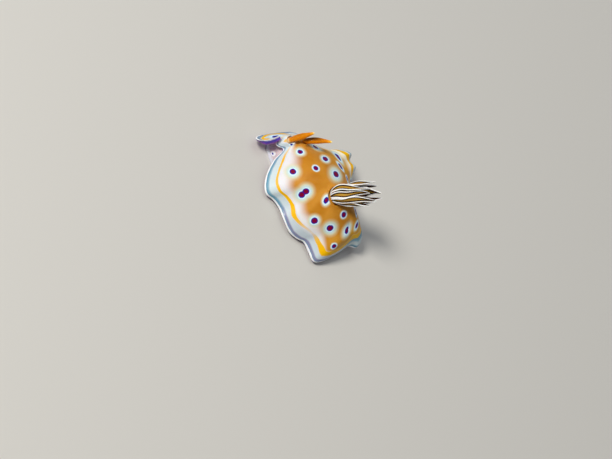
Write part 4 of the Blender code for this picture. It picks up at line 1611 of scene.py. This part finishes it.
@dataclass
class GillTuft:
    """The circle of gill plumes round the vent.

    Each plume is three-sided. Its outer face is a shallow trough between two white ridges, and its
    two inner faces are rows of thin plates, the leaflets, that meet in a keel.
    """

    centre: tuple[float, float] = (-8.4, -0.2)
    sunk: float = 0.5
    ring_radius: float = 1.75
    sweep: Point = (-2.4, -4.6, 11.0)
    half_width: float = 0.78
    ridge: float = 0.21
    keel: float = 0.95
    leaflets: int = 36
    leaflet_depth: float = 0.15
    slant: float = 1.6
    trough_ribs: float = 0.4
    sway: float = 0.34
    sway_waves: float = 1.15
    twist: float = 26.0
    twist_waves: float = 0.9
    swelling: float = 0.14
    swelling_waves: float = 1.6
    ridge_taper: float = 0.55
    beading: float = 0.08
    rows: int = 290
    papilla_columns: int = 36
    papilla_folds: int = 6
    fold_depth: float = 0.06

    def stem(
        self, outward: np.ndarray, root: np.ndarray, form: Sequence[float], share: np.ndarray
    ) -> np.ndarray:
        """The line that a plume follows, out of the ring and back with the current.

        Args:
            outward: The way out from the middle of the tuft.
            root: Where the plume stands, in mm.
            form: Its length, its arch and its spread, in mm.
            share: Share of the way up it, for each point.

        Returns:
            One point in mm for each share.
        """
        length, arch, spread = form
        sweep = np.asarray(self.sweep) / np.linalg.norm(self.sweep)
        share = share[:, None]
        bent = share**1.7
        rise = sweep * bent + np.array([0.0, 0.0, 1.0]) * (share - sweep[2] * bent)
        out = arch * np.sin(math.pi * share**0.8) + spread * share**2
        return root + rise * length + outward * out

    def section(self) -> np.ndarray:
        """The outline across a plume, from the middle of its outer face all the way round.

        Returns:
            One row for each point: its place across and outward in half widths, then in ridge
            radii, its distance from the nearest ridge in half widths, and how deep the gaps
            between leaflets are there, from 0 to 1.
        """
        face = [
            (u, 0.0, 0.0, 0.35 * u**2 - 0.3, 1 - u, self.trough_ribs * (0 < u < 0.8))
            for u in (0.0, 0.22, 0.44, 0.64, 0.82)
        ]
        turns = np.radians((115, 75, 35, -5, -45, -85))
        ridge = [(1.0, 0.0, math.cos(a), math.sin(a), 0.0, 0.0) for a in turns]
        inner = [
            (u, -self.keel * (1 - u), 0.0, -0.85, 1 - u, 1.0) for u in (0.86, 0.72, 0.55, 0.38, 0.2)
        ]
        keel = [(0.0, -self.keel, 0.0, -0.95, 0.9, 0.8)]
        left = np.array([*face, *ridge, *inner])
        right = left[:0:-1] * (-1, 1, -1, 1, 1, 1)
        return np.concatenate([left, np.array(keel), right])

    def turned_frames(self, line: np.ndarray, outward: np.ndarray, turn: np.ndarray) -> np.ndarray:
        """Directions across a plume that face outward but for a slow twist.

        Args:
            line: The points of its line.
            outward: The way out from the middle of the tuft.
            turn: How far it is twisted at each point, in degrees.

        Returns:
            Two directions for each point, the first of them outward.
        """
        first, second = frames_along(line, outward).transpose(1, 0, 2)
        cosine, sine = np.cos(np.radians(turn))[:, None], np.sin(np.radians(turn))[:, None]
        return np.stack([first * cosine + second * sine, second * cosine - first * sine], axis=1)

    def plume(self, angle: float, base: np.ndarray, form: Sequence[float]) -> Mesh:
        """One plume.

        Args:
            angle: Its direction from the tuft's middle, in radians from straight ahead.
            base: The middle of the tuft's foot, in mm.
            form: Its length, its arch and its spread, in mm.

        Returns:
            Its closed surface.
        """
        outward = np.array([math.cos(angle), math.sin(angle), 0.0])
        share = np.linspace(0.0, 1.0, self.rows)
        line = self.stem(outward, base + outward * self.ring_radius, form, share)
        free = smooth(0.12, 0.6, share)
        wave = np.sin(2 * math.pi * self.sway_waves * share + 3 * angle) * free
        line += frames_along(line, outward)[:, 1] * (self.sway * wave)[:, None]
        turn = self.twist * np.cos(2 * math.pi * self.twist_waves * share + 5 * angle) * free
        frames = self.turned_frames(line, outward, turn)
        end = np.sqrt(np.clip(1 - share**8, 0.0, 1.0))
        half = self.half_width * np.sin(math.pi * (0.1 + 0.82 * share)) ** 0.8 * end
        swell = np.sin(2 * math.pi * self.swelling_waves * share + 7 * angle)
        half *= 1 + self.swelling * swell * free
        across, inward, round_across, round_out, away, plated = self.section().T
        phase = self.leaflets * share[:, None] + self.slant * np.abs(across)
        gap = gaps(phase) * plated * smooth(0.05, 0.12, share)[:, None]
        radius = (self.ridge * (1 - self.ridge_taper * share**2) * end)[:, None]
        radius = radius * (1 + self.beading * np.cos(2 * math.pi * phase))
        deep = self.leaflet_depth * gap * half[:, None] / self.half_width
        side = half[:, None] * across + radius * round_across - np.sign(across) * deep * 0.7
        out = half[:, None] * inward + radius * round_out + deep * np.where(inward < 0, 0.7, -0.5)
        points = line[:, None] + frames[:, :1] * out[..., None] + frames[:, 1:] * side[..., None]
        marks = {"ridge_mm": (half[:, None] * away).ravel(), "cleft": gap.ravel()}
        return Mesh(points.reshape(-1, 3), tube(self.rows, len(across)), marks=marks)

    def build(self, skin: Skin) -> list[bpy.types.Object]:
        """Stand both halves of the tuft in their pocket and dress them.

        Args:
            skin: The skin that they stand on.

        Returns:
            The two finished pieces, the left one first.
        """
        base = np.array([*self.centre, skin.height(*self.centre) - self.sunk])
        finish = GillFinish().build()
        halves = []
        for side, turn in (("left", 1), ("right", -1)):
            points, faces, marks, first = [], [], [], 0
            for degrees, *form in PLUMES:
                if degrees * turn < 0:
                    continue
                made = self.plume(math.radians(degrees), base, form)
                points.append(made.points)
                faces += [tuple(index + first for index in face) for face in made.faces]
                marks.append(made.marks)
                first += len(made.points)
            marks = {name: np.concatenate([mark[name] for mark in marks]) for name in marks[0]}
            half = Mesh(np.concatenate(points), faces, marks=marks)
            piece = half.build(f"gill_plumes_{side}", [finish])
            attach(piece, "root")
            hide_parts(f"gills_{side}")
            halves.append(piece)
        return halves

    def papilla(self, skin: Skin) -> bpy.types.Object:
        """The short tube of the vent in the middle of the tuft.

        Args:
            skin: The skin that it stands on.

        Returns:
            The finished piece.
        """
        height = skin.height(*self.centre)
        line = np.array([[*self.centre, height + z] for _, z in PAPILLA_OUTLINE])
        upright = np.array([[[1.0, 0.0, 0.0], [0.0, 1.0, 0.0]]] * len(line))
        count = self.papilla_columns
        folds = np.cos(np.arange(count) * 2 * math.pi * self.papilla_folds / count)
        radii = np.array([radius for radius, _ in PAPILLA_OUTLINE])[:, None]
        points = lathe(line, upright, radii * (1 + self.fold_depth * folds)[None])
        mesh = Mesh(points, tube(len(line), count), marks=unmarked(points))
        piece = mesh.build("anal_papilla_skin", [bpy.data.materials[FootFinish.name]])
        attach(piece, "root")
        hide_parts("anal_papilla")
        return piece


@dataclass(frozen=True)
class Studio:
    """A pale floor, soft lights and a dim even sky, in metres and watts.

    Each light has a name, its place, its width, its power and its colour.
    """

    floor_size: float = 3.0
    aim: Point = (-0.006, 0.0, 0.006)
    lights: tuple[tuple[str, Point, float, float, str], ...] = (
        ("key_light", (0.31, 1.0, 0.82), 0.3, 15.0, "#FFFBF4"),
        ("top_light", (0.25, 0.15, 0.55), 0.35, 0.5, "#F4F7FF"),
        ("rim_light", (0.05, -0.50, 0.25), 0.25, 0.15, "#FFFFFF"),
    )
    sky: str = "#C9CDD2"
    sky_strength: float = 0.3

    def build(self) -> None:
        """Add the floor, the lights and the sky."""
        half = self.floor_size / 2
        corners = [(-half, -half, 0.0), (half, -half, 0.0), (half, half, 0.0), (-half, half, 0.0)]
        mesh = bpy.data.meshes.new("studio_floor")
        mesh.from_pydata(corners, [], [(0, 1, 2, 3)])
        mesh.materials.append(FloorFinish().build())
        floor = bpy.data.objects.new("studio_floor", mesh)
        bpy.context.scene.collection.objects.link(floor)
        for light in self.lights:
            self._light(*light)
        world = bpy.data.worlds.new("studio_sky")
        world.use_nodes = True
        ground = world.node_tree.nodes["Background"]
        ground.inputs["Color"].default_value = linear(self.sky)
        ground.inputs["Strength"].default_value = self.sky_strength
        bpy.context.scene.world = world
        bpy.context.scene.view_settings.view_transform = "Standard"

    def _light(self, name: str, place: Point, size: float, power: float, code: str) -> None:
        """Add a round soft light that faces the animal.

        Args:
            name: The light's name.
            place: Where it stands, in metres.
            size: Its width in metres.
            power: Its power in watts.
            code: Its sRGB hex colour.
        """
        data = bpy.data.lights.new(name, "AREA")
        data.shape = "DISK"
        data.size = size
        data.energy = power
        data.color = linear(code)[:3]
        light = bpy.data.objects.new(name, data)
        light.location = place
        light.rotation_mode = "QUATERNION"
        aim = Vector(self.aim) - Vector(place)
        light.rotation_quaternion = aim.to_track_quat("-Z", "Y")
        bpy.context.scene.collection.objects.link(light)


def main() -> None:
    """Build the animal, the studio and the camera."""
    view = PhotoView()
    view.make_camera()
    Studio().build()
    skin = Skin(Loft(), view)
    piece = skin.build()
    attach(piece, "root")
    fleshy = [
        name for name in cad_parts
        if name.startswith(("back_", "hem_", "foot_", "oral_")) or name in ("tail", "head")
    ]
    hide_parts(*fleshy)
    LOG.info("skin: %d faces", len(piece.data.polygons))
    # The last value of each feeler is the strength of its painted shade, stronger on the right one
    feelers = (
        Rhinophore("left", (9.2, 6.4), (0.0, -2.0, 7.9), 0.25),
        Rhinophore("right", (8.6, 2.6), (-2.5, -2.6, 8.6), 0.85),
    )
    for feeler in feelers:
        LOG.info("%s: %d faces", feeler.side, len(feeler.build(skin).data.polygons))
    tuft = GillTuft()
    for half in tuft.build(skin):
        LOG.info("%s: %d faces", half.name, len(half.data.polygons))
    LOG.info("%s", tuft.papilla(skin).name)


if __name__ == "__main__":
    logging.basicConfig(level=logging.INFO, format="%(name)s: %(message)s")
    main()
